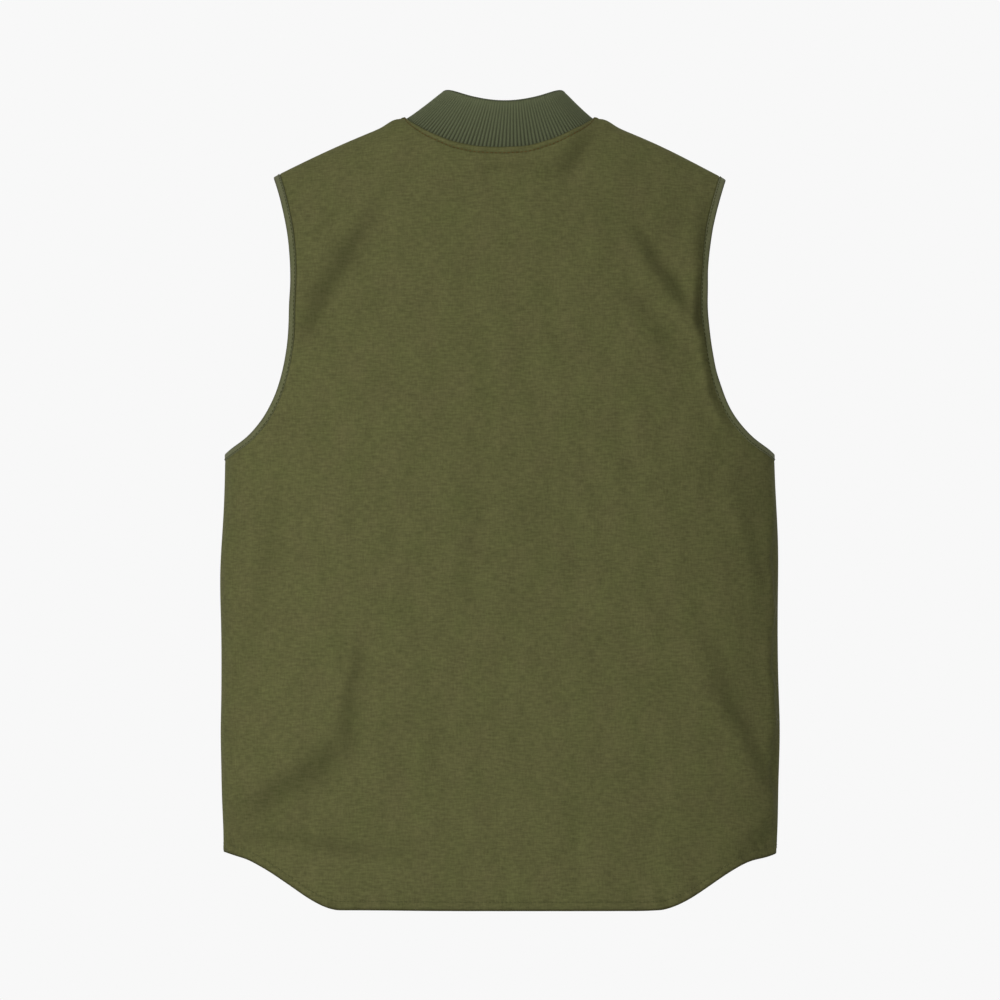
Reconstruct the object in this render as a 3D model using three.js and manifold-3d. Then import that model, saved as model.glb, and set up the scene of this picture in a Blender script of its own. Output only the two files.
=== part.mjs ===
// A sleeveless canvas work vest: a one-piece back that drops into a curved tail, two fronts closed
// by a zip, a rib-knit stand collar and tape-bound armholes. It keeps the shape that it has when worn.
// Millimetres. +X is the wearer's right, +Y the wearer's front and +Z up. The origin lies midway
// between the neck points, where the shoulder seams meet the collar. A drop is a distance below it.

import * as THREE from "three";
import { mergeVertices } from "three/addons/utils/BufferGeometryUtils.js";
import Module from "manifold-3d";

const wasm = await Module();
wasm.setup();

const { clamp, lerp, smoothstep } = THREE.MathUtils;

// Clearances between sewn pieces
const SEAM_GAP = 0.3;
const COLLAR_GAP = 0.75;
const TAPE_GAP = 0.5;

// Walls
const CANVAS_THICKNESS = 1.8;
const RIB_THICKNESS = 2.2;
const TAPE_THICKNESS = 0.9;

// Neck and shoulder lines
const NECK_HALF_WIDTH = 85;
const SHOULDER_HALF_WIDTH = 204;
const SHOULDER_DROP = 53;
const SHOULDER_BOW = 2;
const NECK_RIDGE_RISE = 12;

// Armhole edge and side seam
const ARMHOLE_HALF_WIDTH = 188;
const ARMHOLE_DROP = 154;
const ARMHOLE_TOP_POWER = 2.2;
const UNDERARM_DROP = 302;
const UNDERARM_HANDLES = { down: 126, out: 12, up: 13 };
const BINDING_WIDTH = 4.8;
const SQUARE_ENOUGH = 0.75;
const UNDERARM_SLACK = { size: 1, from: 2, to: 25 };

// Hems
const SIDE_DROP = 659;
const TAIL_DROP = 712;
const TAIL_HALF_WIDTH = 145;
const TAIL_HANDLES = { low: [175, 709], high: [205, 670] };
const FRONT_HEM_DIP = 6;

// Rib-knit collar
const RIM_HALF_WIDTH = 54;
const RIM_HALF_DEPTH = 43;
const RIM_FORWARD = 9;
const RIM_ASIDE = 2;
const RIM_HEIGHT = { mean: 7.4, tilt: 21.9, saddle: -12.6 };
const COLLAR_RIBS = 146;
const RIB_DEPTH = 0.9;

// Front zip
const ZIP_OPENING = 10;
const CHAIN_WIDTH = 6;
const CHAIN_RISE = 0.6;
const ZIP_TAPE_WIDTH = 28;
const SLIDER = { width: 9, height: 14, depth: 3.4, below: 6 };
const PULL = { width: 6, height: 26, depth: 1.6 };

// Girth of the body under the cloth. The sections are rounded oblongs of this power.
const SECTION_POWER = 2.5;
const SECTION_STEP = 150;
const TORSO = [
  { drop: -150, halfWidth: 247, back: 84, front: 92 },
  { drop: 0, halfWidth: 247, back: 84, front: 93 },
  { drop: 150, halfWidth: 247, back: 86, front: 97 },
  { drop: 300, halfWidth: 247, back: 84, front: 98 },
  { drop: 450, halfWidth: 250, back: 79, front: 93 },
  { drop: 600, halfWidth: 250.5, back: 79, front: 91 },
  { drop: 750, halfWidth: 250, back: 83, front: 93 },
  { drop: 900, halfWidth: 250, back: 87, front: 95 },
];

// The two faces of the body. Reach is how far below the shoulder ridge a face gains its full depth.
const BACK = { name: "back", forward: -1, reach: 150, neckDrop: 25.3, neckRound: 2.25, neckPower: 1 };
const FRONT = { name: "front", forward: 1, reach: 260, neckDrop: 72, neckRound: 2.2, neckPower: 0.85 };

// Drag folds of the back. Each runs from one point to another, with a ridge on its left and a valley
// on its right, and grows and dies away within the given shares of its run.
const FOLDS = [
  { fromX: -182, fromDrop: 206, toX: -112, toDrop: 88, width: 15, depth: 3 },
  { fromX: -176, fromDrop: 132, toX: -138, toDrop: 84, width: 11, depth: 1.6 },
  { fromX: 182, fromDrop: 190, toX: 114, toDrop: 102, width: 15, depth: 3 },
  { fromX: -176, fromDrop: 600, toX: -118, toDrop: 450, width: 24, depth: 3 },
  { fromX: -236, fromDrop: 634, toX: -140, toDrop: 648, width: 16, depth: 1.8 },
];
const FOLD_GROWTH = { start: -0.15, full: 0.3 };
const FOLD_DECAY = { full: 0.7, end: 1.15 };
const FOLD_FADE = 30;

// How finely each panel is divided: along the neck, the shoulder, the side seam and the armhole
const BACK_STEPS = { neck: 7, shoulder: 9, side: 19, armhole: 17 };
const FRONT_STEPS = { neck: 5, shoulder: 7, side: 11, armhole: 15 };
const EDGE_INSET = 0.98;

// Steps over which a surface's slope is taken
const TURN_STEP = 0.01;
const DROP_STEP = 1.5;

const MATERIALS = {
  canvas: { color: 0x5a5b39, roughness: 0.92, metalness: 0 },
  ribKnit: { color: 0x4b503a, roughness: 0.95, metalness: 0 },
  tape: { color: 0x57563f, roughness: 0.9, metalness: 0 },
  zip: { color: 0x3a3b2c, roughness: 0.6, metalness: 0.1 },
};

// The torso table, read smoothly at any drop
function torso(column, drop) {
  const low = clamp(Math.floor((drop - TORSO[0].drop) / SECTION_STEP), 1, TORSO.length - 3);
  const [before, start, end, after] = [low - 1, low, low + 1, low + 2].map((row) => TORSO[row]);
  const t = clamp((drop - start.drop) / SECTION_STEP, 0, 1);
  const slopeIn = (end[column] - before[column]) / 2;
  const slopeOut = (after[column] - start[column]) / 2;
  const rise = end[column] - start[column];
  const bend = t * (1 - t);
  return start[column] + rise * t * t * (3 - 2 * t) + bend * ((1 - t) * slopeIn - t * slopeOut);
}

// A turn goes from 0 at the centre line to 1 at the side seam
function acrossOf(turn, drop) {
  return torso("halfWidth", drop) * Math.sin((turn * Math.PI) / 2) ** (2 / SECTION_POWER);
}

function turnOf(across, drop) {
  const share = clamp(across / torso("halfWidth", drop), 0, 1);
  return (Math.asin(share ** (SECTION_POWER / 2)) * 2) / Math.PI;
}

// Drop of the ridge where back and front meet: the shoulder seam, carried on over the neck hole
// with the same slope
const SHOULDER_RUN = SHOULDER_HALF_WIDTH - NECK_HALF_WIDTH;
const NECK_SLOPE = (SHOULDER_DROP - Math.PI * SHOULDER_BOW) / SHOULDER_RUN;
const NECK_RIDGE_POWER = (NECK_SLOPE * NECK_HALF_WIDTH) / NECK_RIDGE_RISE;

function ridgeDrop(across) {
  if (across < NECK_HALF_WIDTH) {
    return -NECK_RIDGE_RISE * (1 - (across / NECK_HALF_WIDTH) ** NECK_RIDGE_POWER);
  }
  const along = (across - NECK_HALF_WIDTH) / SHOULDER_RUN;
  const bow = SHOULDER_BOW * Math.sin(Math.PI * clamp(along, 0, 1));
  return SHOULDER_DROP * along - bow;
}

function neckDrop(face, across) {
  const share = clamp(across / NECK_HALF_WIDTH, 0, 1);
  return face.neckDrop * (1 - share ** face.neckRound) ** face.neckPower;
}

// A point of a panel's outer face on the wearer's right
function bodyPoint(face, turn, drop) {
  const across = acrossOf(turn, drop);
  const fall = clamp((drop - ridgeDrop(across)) / face.reach, 0, 1);
  const crown = Math.sqrt(1 - (1 - fall) ** 2);
  const depth = torso(face.name, drop) * Math.cos((turn * Math.PI) / 2) ** (2 / SECTION_POWER) * crown;
  return new THREE.Vector3(across, face.forward * (SEAM_GAP / 2 + depth), -drop);
}

// Normal of a surface that is given by turn and drop, pointing away from the body
function surfaceNormal(face, turn, drop, surface) {
  const ridge = ridgeDrop(acrossOf(turn, drop));
  const above = surface(turn, Math.max(drop - DROP_STEP, ridge));
  const below = surface(turn, drop + DROP_STEP);
  const before = surface(clamp(turn - TURN_STEP, 0, 1), drop);
  const after = surface(clamp(turn + TURN_STEP, 0, 1), drop);
  return after.sub(before).cross(above.sub(below)).normalize().multiplyScalar(-face.forward);
}

// A point of the cloth, with the folds that lie on that side of the body
function clothPoint(face, side, turn, drop) {
  const point = bodyPoint(face, turn, drop);
  if (face === FRONT) {
    return point;
  }
  const normal = surfaceNormal(face, turn, drop, (t, d) => bodyPoint(face, t, d));
  const lift = foldLift(side * point.x, drop) * smoothstep(-point.y, 0, FOLD_FADE);
  return point.addScaledVector(normal, lift);
}

// The cloth edge lies inside the folded tape
const EDGE_SETBACK = TAPE_GAP + TAPE_THICKNESS;
const armholeFoot = new THREE.Vector2(ARMHOLE_HALF_WIDTH - EDGE_SETBACK, ARMHOLE_DROP);
const underarmDrop = UNDERARM_DROP + EDGE_SETBACK;
const underarm = new THREE.Vector2(torso("halfWidth", underarmDrop), underarmDrop);
const armholeLower = new THREE.CubicBezierCurve(
  underarm,
  new THREE.Vector2(underarm.x - UNDERARM_HANDLES.out, underarm.y - UNDERARM_HANDLES.up),
  new THREE.Vector2(armholeFoot.x, armholeFoot.y + UNDERARM_HANDLES.down),
  armholeFoot,
);
const ARMHOLE_LOWER_SHARE = 0.6;

// Armhole edge from the underarm, at 0, to the shoulder tip, at 1
function armholeEdge(t) {
  if (t < ARMHOLE_LOWER_SHARE) {
    return armholeLower.getPointAt(t / ARMHOLE_LOWER_SHARE);
  }
  const climb = (t - ARMHOLE_LOWER_SHARE) / (1 - ARMHOLE_LOWER_SHARE);
  const tipDrop = ridgeDrop(SHOULDER_HALF_WIDTH - EDGE_SETBACK);
  const flare = (SHOULDER_HALF_WIDTH - ARMHOLE_HALF_WIDTH) * climb ** ARMHOLE_TOP_POWER;
  return new THREE.Vector2(armholeFoot.x + flare, lerp(ARMHOLE_DROP, tipDrop, climb));
}

// The same edge on a face of the body, so that steps along it can be even
class ArmholeCurve extends THREE.Curve {
  constructor(face) {
    super();
    this.face = face;
  }

  getPoint(t) {
    const edge = armholeEdge(t);
    return bodyPoint(this.face, turnOf(edge.x, edge.y), edge.y);
  }
}
BACK.armhole = new ArmholeCurve(BACK);
FRONT.armhole = new ArmholeCurve(FRONT);

const tailCurve = new THREE.CubicBezierCurve(
  new THREE.Vector2(TAIL_HALF_WIDTH, TAIL_DROP),
  new THREE.Vector2(...TAIL_HANDLES.low),
  new THREE.Vector2(...TAIL_HANDLES.high),
  new THREE.Vector2(torso("halfWidth", SIDE_DROP), SIDE_DROP),
);
const TAIL_FLAT_SHARE = 0.5;

function backHem(t) {
  if (t < TAIL_FLAT_SHARE) {
    return new THREE.Vector2((TAIL_HALF_WIDTH * t) / TAIL_FLAT_SHARE, TAIL_DROP);
  }
  return tailCurve.getPointAt((t - TAIL_FLAT_SHARE) / (1 - TAIL_FLAT_SHARE));
}

function frontHem(t) {
  const across = lerp(ZIP_OPENING / 2, torso("halfWidth", SIDE_DROP), Math.sin((t * Math.PI) / 2));
  return new THREE.Vector2(across, SIDE_DROP + FRONT_HEM_DIP * (1 - t) ** 2);
}

// Top edge of a panel: the neck curve, then the shoulder seam
function topEdge(face, start, neckShare, t) {
  if (t < neckShare) {
    const across = lerp(start, NECK_HALF_WIDTH, Math.sin((t / neckShare) * (Math.PI / 2)));
    return new THREE.Vector2(across, neckDrop(face, across));
  }
  const along = (t - neckShare) / (1 - neckShare);
  const across = lerp(NECK_HALF_WIDTH, SHOULDER_HALF_WIDTH - EDGE_SETBACK, along);
  return new THREE.Vector2(across, ridgeDrop(across));
}

function outerEdge(face, sideShare, t) {
  if (t < sideShare) {
    const drop = lerp(SIDE_DROP, underarm.y, t / sideShare);
    return new THREE.Vector2(torso("halfWidth", drop), drop);
  }
  return armholeEdge(face.armhole.getUtoTmapping((t - sideShare) / (1 - sideShare)));
}

// How far the folds lift the cloth at a place on the back
function foldLift(x, drop) {
  let lift = 0;
  for (const fold of FOLDS) {
    const run = new THREE.Vector2(fold.toX - fold.fromX, fold.toDrop - fold.fromDrop);
    const offset = new THREE.Vector2(x - fold.fromX, drop - fold.fromDrop);
    const along = offset.dot(run) / run.lengthSq();
    const beside = offset.cross(run) / run.length() / fold.width;
    const grown = smoothstep(along, FOLD_GROWTH.start, FOLD_GROWTH.full);
    const decayed = smoothstep(along, FOLD_DECAY.full, FOLD_DECAY.end);
    lift += fold.depth * grown * (1 - decayed) * beside * Math.exp((1 - beside * beside) / 2);
  }
  return lift;
}

// One half of a panel as a grid of turns and drops, blended from its four edges
function panelPatch(face, start, steps) {
  const columns = steps.neck + steps.shoulder;
  const rows = steps.side + steps.armhole;
  const neckShare = steps.neck / columns;
  const sideShare = steps.side / rows;
  const hem = face === BACK ? backHem : frontHem;
  const flat = (edge) => new THREE.Vector2(turnOf(edge.x, edge.y), edge.y);
  const bottom = (u) => flat(hem(u));
  const top = (u) => flat(topEdge(face, start, neckShare, u));
  const outer = (v) => flat(outerEdge(face, sideShare, v));
  const inner = (v) => flat(new THREE.Vector2(start, lerp(hem(0).y, neckDrop(face, start), v)));
  const patch = (u, v) => {
    const place = new THREE.Vector2();
    place.addScaledVector(bottom(u), 1 - v).addScaledVector(top(u), v);
    place.addScaledVector(inner(v), 1 - u).addScaledVector(outer(v), u);
    place.addScaledVector(bottom(0), -(1 - u) * (1 - v)).addScaledVector(bottom(1), -u * (1 - v));
    place.addScaledVector(top(0), -(1 - u) * v).addScaledVector(top(1), -u * v);
    return place.setX(clamp(place.x, 0, 1));
  };
  const grid = [];
  for (let row = 0; row <= rows; row++) {
    const line = [];
    for (let column = 0; column <= columns; column++) {
      const u = column === columns - 1 ? EDGE_INSET : column / columns;
      line.push(patch(u, row / rows));
    }
    grid.push(line);
  }
  return grid;
}

// One half of a panel: points and normals, in columns from the centre line to the side.
// On the seams the normals stay in the plane between back and front.
function halfPanel(face, side, start, steps) {
  const places = panelPatch(face, start, steps);
  const surface = (turn, drop) => clothPoint(face, side, turn, drop);
  const points = places.map((line) => line.map(({ x, y }) => surface(x, y)));
  const normals = places.map((line) => line.map(({ x, y }) => surfaceNormal(face, x, y, surface)));
  const top = points.length - 1;
  const last = points[0].length - 1;
  for (let column = steps.neck; column <= last; column++) {
    const from = Math.max(column - 1, steps.neck);
    const run = new THREE.Vector3().subVectors(points[top][from + 1], points[top][from]);
    normals[top][column].set(-run.z, 0, run.x).normalize();
  }
  for (let row = 0; row <= steps.side; row++) {
    const from = Math.max(row - 1, 0);
    const climb = new THREE.Vector3().subVectors(points[from + 1][last], points[from][last]);
    normals[row][last].set(climb.z, 0, -climb.x).normalize();
  }
  for (const vector of [...points.flat(), ...normals.flat()]) {
    vector.x *= side;
  }
  return { points, normals };
}

// Normals of a grid of points, on the side that its rows and columns turn to
function gridNormals(grid) {
  return grid.map((line, row) => line.map((point, column) => {
    const above = grid[Math.min(row + 1, grid.length - 1)][column];
    const below = grid[Math.max(row - 1, 0)][column];
    const after = line[Math.min(column + 1, line.length - 1)];
    const before = line[Math.max(column - 1, 0)];
    const up = new THREE.Vector3().subVectors(above, below);
    return new THREE.Vector3().subVectors(after, before).cross(up).normalize();
  }));
}

// A surface from points and quads, each quad split along its shorter diagonal
function quadGeometry(points, quads, triangles = []) {
  for (const [a, b, c, d] of quads) {
    if (points[a].distanceTo(points[c]) <= points[b].distanceTo(points[d])) {
      triangles.push(a, b, c, a, c, d);
    } else {
      triangles.push(b, c, d, b, d, a);
    }
  }
  const geometry = new THREE.BufferGeometry().setFromPoints(points);
  geometry.setIndex(triangles);
  return geometry;
}

// A closed wall between two like grids, outer and inner
function wallGeometry(outer, inner) {
  const rows = outer.length;
  const columns = outer[0].length;
  const count = rows * columns;
  const at = (row, column) => row * columns + column;
  const quads = [];
  for (let row = 0; row < rows - 1; row++) {
    for (let column = 0; column < columns - 1; column++) {
      const [near, far] = [at(row, column), at(row + 1, column)];
      const corners = [near, near + 1, far + 1, far];
      quads.push(corners, corners.map((corner) => corner + count).reverse());
    }
  }
  const rim = [];
  for (let column = 0; column < columns - 1; column++) {
    rim.push(at(0, column));
  }
  for (let row = 0; row < rows - 1; row++) {
    rim.push(at(row, columns - 1));
  }
  for (let column = columns - 1; column > 0; column--) {
    rim.push(at(rows - 1, column));
  }
  for (let row = rows - 1; row > 0; row--) {
    rim.push(at(row, 0));
  }
  rim.forEach((start, index) => {
    const end = rim[(index + 1) % rim.length];
    quads.push([start + count, end + count, end, start]);
  });
  return quadGeometry([...outer.flat(), ...inner.flat()], quads);
}

// A closed ring or a capped rod from like cross-sections, each a loop of points
function sweepGeometry(sections, closed) {
  const sides = sections[0].length;
  const spans = closed ? sections.length : sections.length - 1;
  const quads = [];
  for (let span = 0; span < spans; span++) {
    const next = (span + 1) % sections.length;
    for (let side = 0; side < sides; side++) {
      const turn = (side + 1) % sides;
      quads.push([span * sides + side, span * sides + turn, next * sides + turn, next * sides + side]);
    }
  }
  const caps = [];
  if (!closed) {
    const outline = sections[0].map((point) => new THREE.Vector2(point.x, point.y));
    const last = (sections.length - 1) * sides;
    for (const [a, b, c] of THREE.ShapeUtils.triangulateShape(outline, [])) {
      caps.push(c, b, a, last + a, last + b, last + c);
    }
  }
  return quadGeometry(sections.flat(), quads, caps);
}

// The cloth wall of a panel
function clothWall(outer, normals) {
  const inner = outer.map((line, row) => line.map((point, column) => (
    point.clone().addScaledVector(normals[row][column], -CANVAS_THICKNESS)
  )));
  return { outer, inner, normals };
}

// The back, woven in one piece, with columns from the left side to the right
function backWall() {
  const left = halfPanel(BACK, -1, 0, BACK_STEPS);
  const right = halfPanel(BACK, 1, 0, BACK_STEPS);
  const whole = (key) => right[key].map((line, row) => [...left[key][row].slice(1).reverse(), ...line]);
  return clothWall(whole("points"), whole("normals"));
}

// A front, from the zip to the side. Columns run so that the wall faces out.
function frontWall(side) {
  const half = halfPanel(FRONT, side, ZIP_OPENING / 2, FRONT_STEPS);
  if (side > 0) {
    half.points.forEach((line) => line.reverse());
    half.normals.forEach((line) => line.reverse());
  }
  return clothWall(half.points, half.normals);
}

// Tape folded round an armhole: along the back edge, under the arm and along the front edge.
// Side is 1 on the wearer's right and -1 on the left, where the ring is taken the other way round.
function bindingGeometry(back, front, side) {
  const stations = [];
  const addStation = (wall, row, atEnd) => {
    const edge = atEnd ? wall.outer[0].length - 1 : 0;
    const inside = atEnd ? edge - 1 : 1;
    const point = wall.outer[row][edge].clone();
    const inward = new THREE.Vector3().subVectors(wall.outer[row][inside], point);
    stations.push({ point, inward, normal: wall.normals[row][edge].clone() });
  };
  for (let row = back.outer.length - 1; row >= BACK_STEPS.side; row--) {
    addStation(back, row, side > 0);
  }
  for (const seam of [stations[0], stations[stations.length - 1]]) {
    seam.point.setY(0);
    seam.inward.setY(0);
  }
  for (let row = FRONT_STEPS.side + 1; row < front.outer.length - 1; row++) {
    addStation(front, row, side < 0);
  }
  if (side < 0) {
    stations.reverse();
  }
  const profile = (gap) => {
    const outside = gap + TAPE_THICKNESS;
    const below = -CANVAS_THICKNESS - gap;
    return [
      [gap, gap],
      [gap, below],
      [-BINDING_WIDTH, below],
      [-BINDING_WIDTH, below - TAPE_THICKNESS],
      [0, below - TAPE_THICKNESS],
      [outside, -CANVAS_THICKNESS / 2],
      [0, outside],
      [-BINDING_WIDTH, outside],
      [-BINDING_WIDTH, gap],
    ];
  };
  const sections = stations.map(({ point, inward, normal }, index) => {
    const before = stations.at(index - 1).point;
    const after = stations[(index + 1) % stations.length].point;
    const out = new THREE.Vector3().subVectors(after, before).cross(normal).normalize().negate();
    const square = -inward.dot(out) / inward.length() > SQUARE_ENOUGH;
    const leg = square ? inward.clone().normalize().negate() : out;
    const taut = smoothstep(underarm.y + point.z, UNDERARM_SLACK.from, UNDERARM_SLACK.to);
    return profile(TAPE_GAP + UNDERARM_SLACK.size * (1 - taut)).map(([along, lift]) => (
      point.clone().addScaledVector(along < 0 ? leg : out, along).addScaledVector(normal, lift)
    ));
  });
  return sweepGeometry(sections, true);
}

// Middle of the cloth along the neck edge, from the left of the zip round the back to its right
function neckLine(back, left, right) {
  const middle = (wall, column) => {
    const row = wall.outer.length - 1;
    return wall.outer[row][column].clone().lerp(wall.inner[row][column], 0.5);
  };
  const points = [];
  const backCentre = BACK_STEPS.neck + BACK_STEPS.shoulder;
  const frontCorner = FRONT_STEPS.shoulder;
  const frontEnd = FRONT_STEPS.shoulder + FRONT_STEPS.neck;
  for (let step = 0; step < FRONT_STEPS.neck; step++) {
    points.push(middle(left, step));
  }
  for (let step = -BACK_STEPS.neck; step <= BACK_STEPS.neck; step++) {
    points.push(middle(back, backCentre + step));
  }
  for (let step = frontCorner + 1; step <= frontEnd; step++) {
    points.push(middle(right, step));
  }
  const line = new THREE.CurvePath();
  points.slice(1).forEach((point, index) => line.add(new THREE.LineCurve3(points[index], point)));
  return line;
}

// Rim of the collar by angle from the centre back, negative on the left
function rimPoint(angle) {
  const { mean, tilt, saddle } = RIM_HEIGHT;
  return new THREE.Vector3(
    RIM_ASIDE * Math.cos(angle / 2) + RIM_HALF_WIDTH * Math.sin(angle),
    RIM_FORWARD - RIM_HALF_DEPTH * Math.cos(angle),
    mean + tilt * Math.cos(angle) + saddle * Math.cos(2 * angle),
  );
}

// The rib-knit wall, with a ridge and a furrow for each rib
function collarWall(line) {
  const columns = COLLAR_RIBS * 2 + 1;
  const rimEnd = Math.PI - Math.asin(ZIP_OPENING / 2 / RIM_HALF_WIDTH);
  const foot = [];
  const rim = [];
  for (let column = 0; column < columns; column++) {
    const share = column / (columns - 1);
    foot.push(line.getPointAt(share));
    rim.push(rimPoint(lerp(-rimEnd, rimEnd, share)));
  }
  const lowest = foot.map((point, column) => (
    point.clone().lerp(rim[column], COLLAR_GAP / point.distanceTo(rim[column]))
  ));
  const middle = [lowest, rim];
  const normals = gridNormals(middle);
  const offset = (side) => middle.map((ring, row) => ring.map((point, column) => {
    const rib = (column % 2 === 0 ? -0.5 : 0.5) * RIB_DEPTH;
    return point.clone().addScaledVector(normals[row][column], (side * RIB_THICKNESS) / 2 + rib);
  }));
  return { outer: offset(1), inner: offset(-1), middle, normals };
}

function solidFrom(geometry) {
  const bare = geometry.clone();
  bare.deleteAttribute("normal");
  bare.deleteAttribute("uv");
  const merged = mergeVertices(bare);
  return new wasm.Manifold(new wasm.Mesh({
    numProp: 3,
    vertProperties: new Float32Array(merged.attributes.position.array),
    triVerts: new Uint32Array(merged.index.array),
  }));
}

function geometryFrom(solid) {
  const mesh = solid.getMesh();
  const geometry = new THREE.BufferGeometry();
  geometry.setAttribute("position", new THREE.Float32BufferAttribute(mesh.vertProperties, 3));
  geometry.setIndex(Array.from(mesh.triVerts));
  return geometry;
}

function boxAt(size, placement, lift, slide) {
  const box = new THREE.BoxGeometry(size.width, size.depth, size.height);
  return solidFrom(box.translate(0, lift, slide).applyMatrix4(placement));
}

// The closed zip: a tape behind both edges, a raised chain between them, and the slider with its pull
function zipGeometry(front, collar) {
  const stations = [];
  const edge = front.outer[0].length - 1;
  const end = collar.middle[0].length - 1;
  const rows = front.outer.length;
  const collarBack = (RIB_THICKNESS + RIB_DEPTH) / 2 + TAPE_GAP;
  const addStation = (point, normal, back) => {
    stations.push({ point: point.clone().setX(0), normal: normal.clone().setX(0).normalize(), back });
  };
  for (let row = 0; row < rows; row++) {
    const atNeck = row === rows - 1;
    const behind = atNeck ? CANVAS_THICKNESS / 2 + collarBack : CANVAS_THICKNESS + TAPE_GAP;
    addStation(front.outer[row][edge], front.normals[row][edge], behind);
  }
  const rim = collar.middle.length - 1;
  addStation(collar.middle[rim][end], collar.normals[rim][end], collarBack);
  const half = ZIP_TAPE_WIDTH / 2;
  const chain = CHAIN_WIDTH / 2;
  const sections = stations.map(({ point, normal, back }) => [
    [-half, -back - TAPE_THICKNESS],
    [half, -back - TAPE_THICKNESS],
    [half, -back],
    [chain, -back],
    [chain, CHAIN_RISE],
    [-chain, CHAIN_RISE],
    [-chain, -back],
    [-half, -back],
  ].map(([across, lift]) => point.clone().addScaledVector(normal, lift).setX(across)));
  const top = stations[stations.length - 1];
  const right = new THREE.Vector3(1, 0, 0);
  const up = new THREE.Vector3().crossVectors(right, top.normal);
  const placement = new THREE.Matrix4().makeBasis(right, top.normal, up).setPosition(top.point);
  const sliderSlide = -SLIDER.below - SLIDER.height / 2;
  const pullSlide = sliderSlide - PULL.height / 2;
  return geometryFrom(
    solidFrom(sweepGeometry(sections, false))
      .add(boxAt(SLIDER, placement, CHAIN_RISE, sliderSlide))
      .add(boxAt(PULL, placement, CHAIN_RISE + SLIDER.depth / 2, pullSlide)),
  );
}

const vest = new THREE.Group();

function addPiece(name, geometry, finish) {
  const piece = new THREE.Mesh(geometry, new THREE.MeshStandardMaterial(finish));
  piece.name = name;
  vest.add(piece);
}

const back = backWall();
const rightFront = frontWall(1);
const leftFront = frontWall(-1);
const collar = collarWall(neckLine(back, leftFront, rightFront));

addPiece("back_panel", wallGeometry(back.outer, back.inner), MATERIALS.canvas);
addPiece("front_panel_right", wallGeometry(rightFront.outer, rightFront.inner), MATERIALS.canvas);
addPiece("front_panel_left", wallGeometry(leftFront.outer, leftFront.inner), MATERIALS.canvas);
addPiece("collar", wallGeometry(collar.outer, collar.inner), MATERIALS.ribKnit);
addPiece("armhole_binding_right", bindingGeometry(back, rightFront, 1), MATERIALS.tape);
addPiece("armhole_binding_left", bindingGeometry(back, leftFront, -1), MATERIALS.tape);
addPiece("front_zip", zipGeometry(rightFront, collar), MATERIALS.zip);

export default vest;
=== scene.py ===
import math
from collections import namedtuple
from functools import lru_cache

import bmesh
import bpy
import numpy as np
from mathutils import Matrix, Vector


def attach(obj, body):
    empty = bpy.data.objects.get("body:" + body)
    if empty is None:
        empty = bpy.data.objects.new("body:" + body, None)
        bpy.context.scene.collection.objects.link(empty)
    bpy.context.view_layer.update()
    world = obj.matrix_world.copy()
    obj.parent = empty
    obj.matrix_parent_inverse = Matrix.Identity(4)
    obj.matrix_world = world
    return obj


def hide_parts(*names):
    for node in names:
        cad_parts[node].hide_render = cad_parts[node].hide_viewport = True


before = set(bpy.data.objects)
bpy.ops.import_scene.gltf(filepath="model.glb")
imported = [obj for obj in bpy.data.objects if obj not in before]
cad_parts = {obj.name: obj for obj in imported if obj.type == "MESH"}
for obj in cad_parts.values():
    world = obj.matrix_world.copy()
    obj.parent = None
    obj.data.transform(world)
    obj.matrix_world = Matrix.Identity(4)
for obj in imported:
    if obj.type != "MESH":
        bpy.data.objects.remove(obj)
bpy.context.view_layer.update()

bl_info = {
    "name": "Canvas Vest",
    "version": (1, 0, 0),
    "blender": (4, 5, 0),
    "location": "View3D > Sidebar > Canvas Vest",
    "description": "Dresses the solids of a sleeveless work vest in canvas, rib knit, tape and thread",
    "category": "Add Mesh",
}

# Metres. +X is the wearer's right, +Y the wearer's front and +Z up, with the origin midway between
# the neck points. A drop is a distance below the origin. The forms repeat those of the solids.
BODY = "root"
SIDES = {"right": 1, "left": -1}

# Neck and shoulder lines
NECK_HALF_WIDTH = 0.085
SHOULDER_HALF_WIDTH = 0.204
SHOULDER_DROP = 0.053
SHOULDER_BOW = 0.002
NECK_RIDGE_RISE = 0.012

# Armhole edge, with the setback of the cloth inside its tape
ARMHOLE_HALF_WIDTH = 0.188
ARMHOLE_DROP = 0.154
ARMHOLE_TOP_POWER = 2.2
UNDERARM_DROP = 0.302
UNDERARM_HANDLES = {"out": 0.012, "up": 0.013, "down": 0.126}
EDGE_SETBACK = 0.0014

# Hems
SIDE_DROP = 0.659
TAIL_DROP = 0.712
TAIL_HALF_WIDTH = 0.145
TAIL_HANDLES = ((0.175, 0.709), (0.205, 0.670))
FRONT_HEM_DIP = 0.006

# Rim of the collar and opening of the zip
RIM_HALF_WIDTH = 0.054
RIM_HALF_DEPTH = 0.043
RIM_FORWARD = 0.009
RIM_ASIDE = 0.0045
RIM_HEIGHT = {"mean": 0.0079, "tilt": 0.0219, "saddle": -0.0126}
RIM_DIP = {"height": 0.0015, "angles": (0.55, 1.30)}
ZIP_OPENING = 0.010
RIM_END = math.pi - math.asin(ZIP_OPENING / 2 / RIM_HALF_WIDTH)

# Girth of the body under the cloth, at even steps of drop
SECTION_POWER = 2.5
TORSO_TOP = -0.15
TORSO_STEP = 0.15
TORSO = {
    "half_width": (0.247, 0.247, 0.247, 0.247, 0.250, 0.2505, 0.250, 0.250),
    "back": (0.084, 0.084, 0.086, 0.084, 0.079, 0.079, 0.083, 0.087),
    "front": (0.092, 0.093, 0.097, 0.098, 0.093, 0.091, 0.093, 0.095),
}

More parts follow.
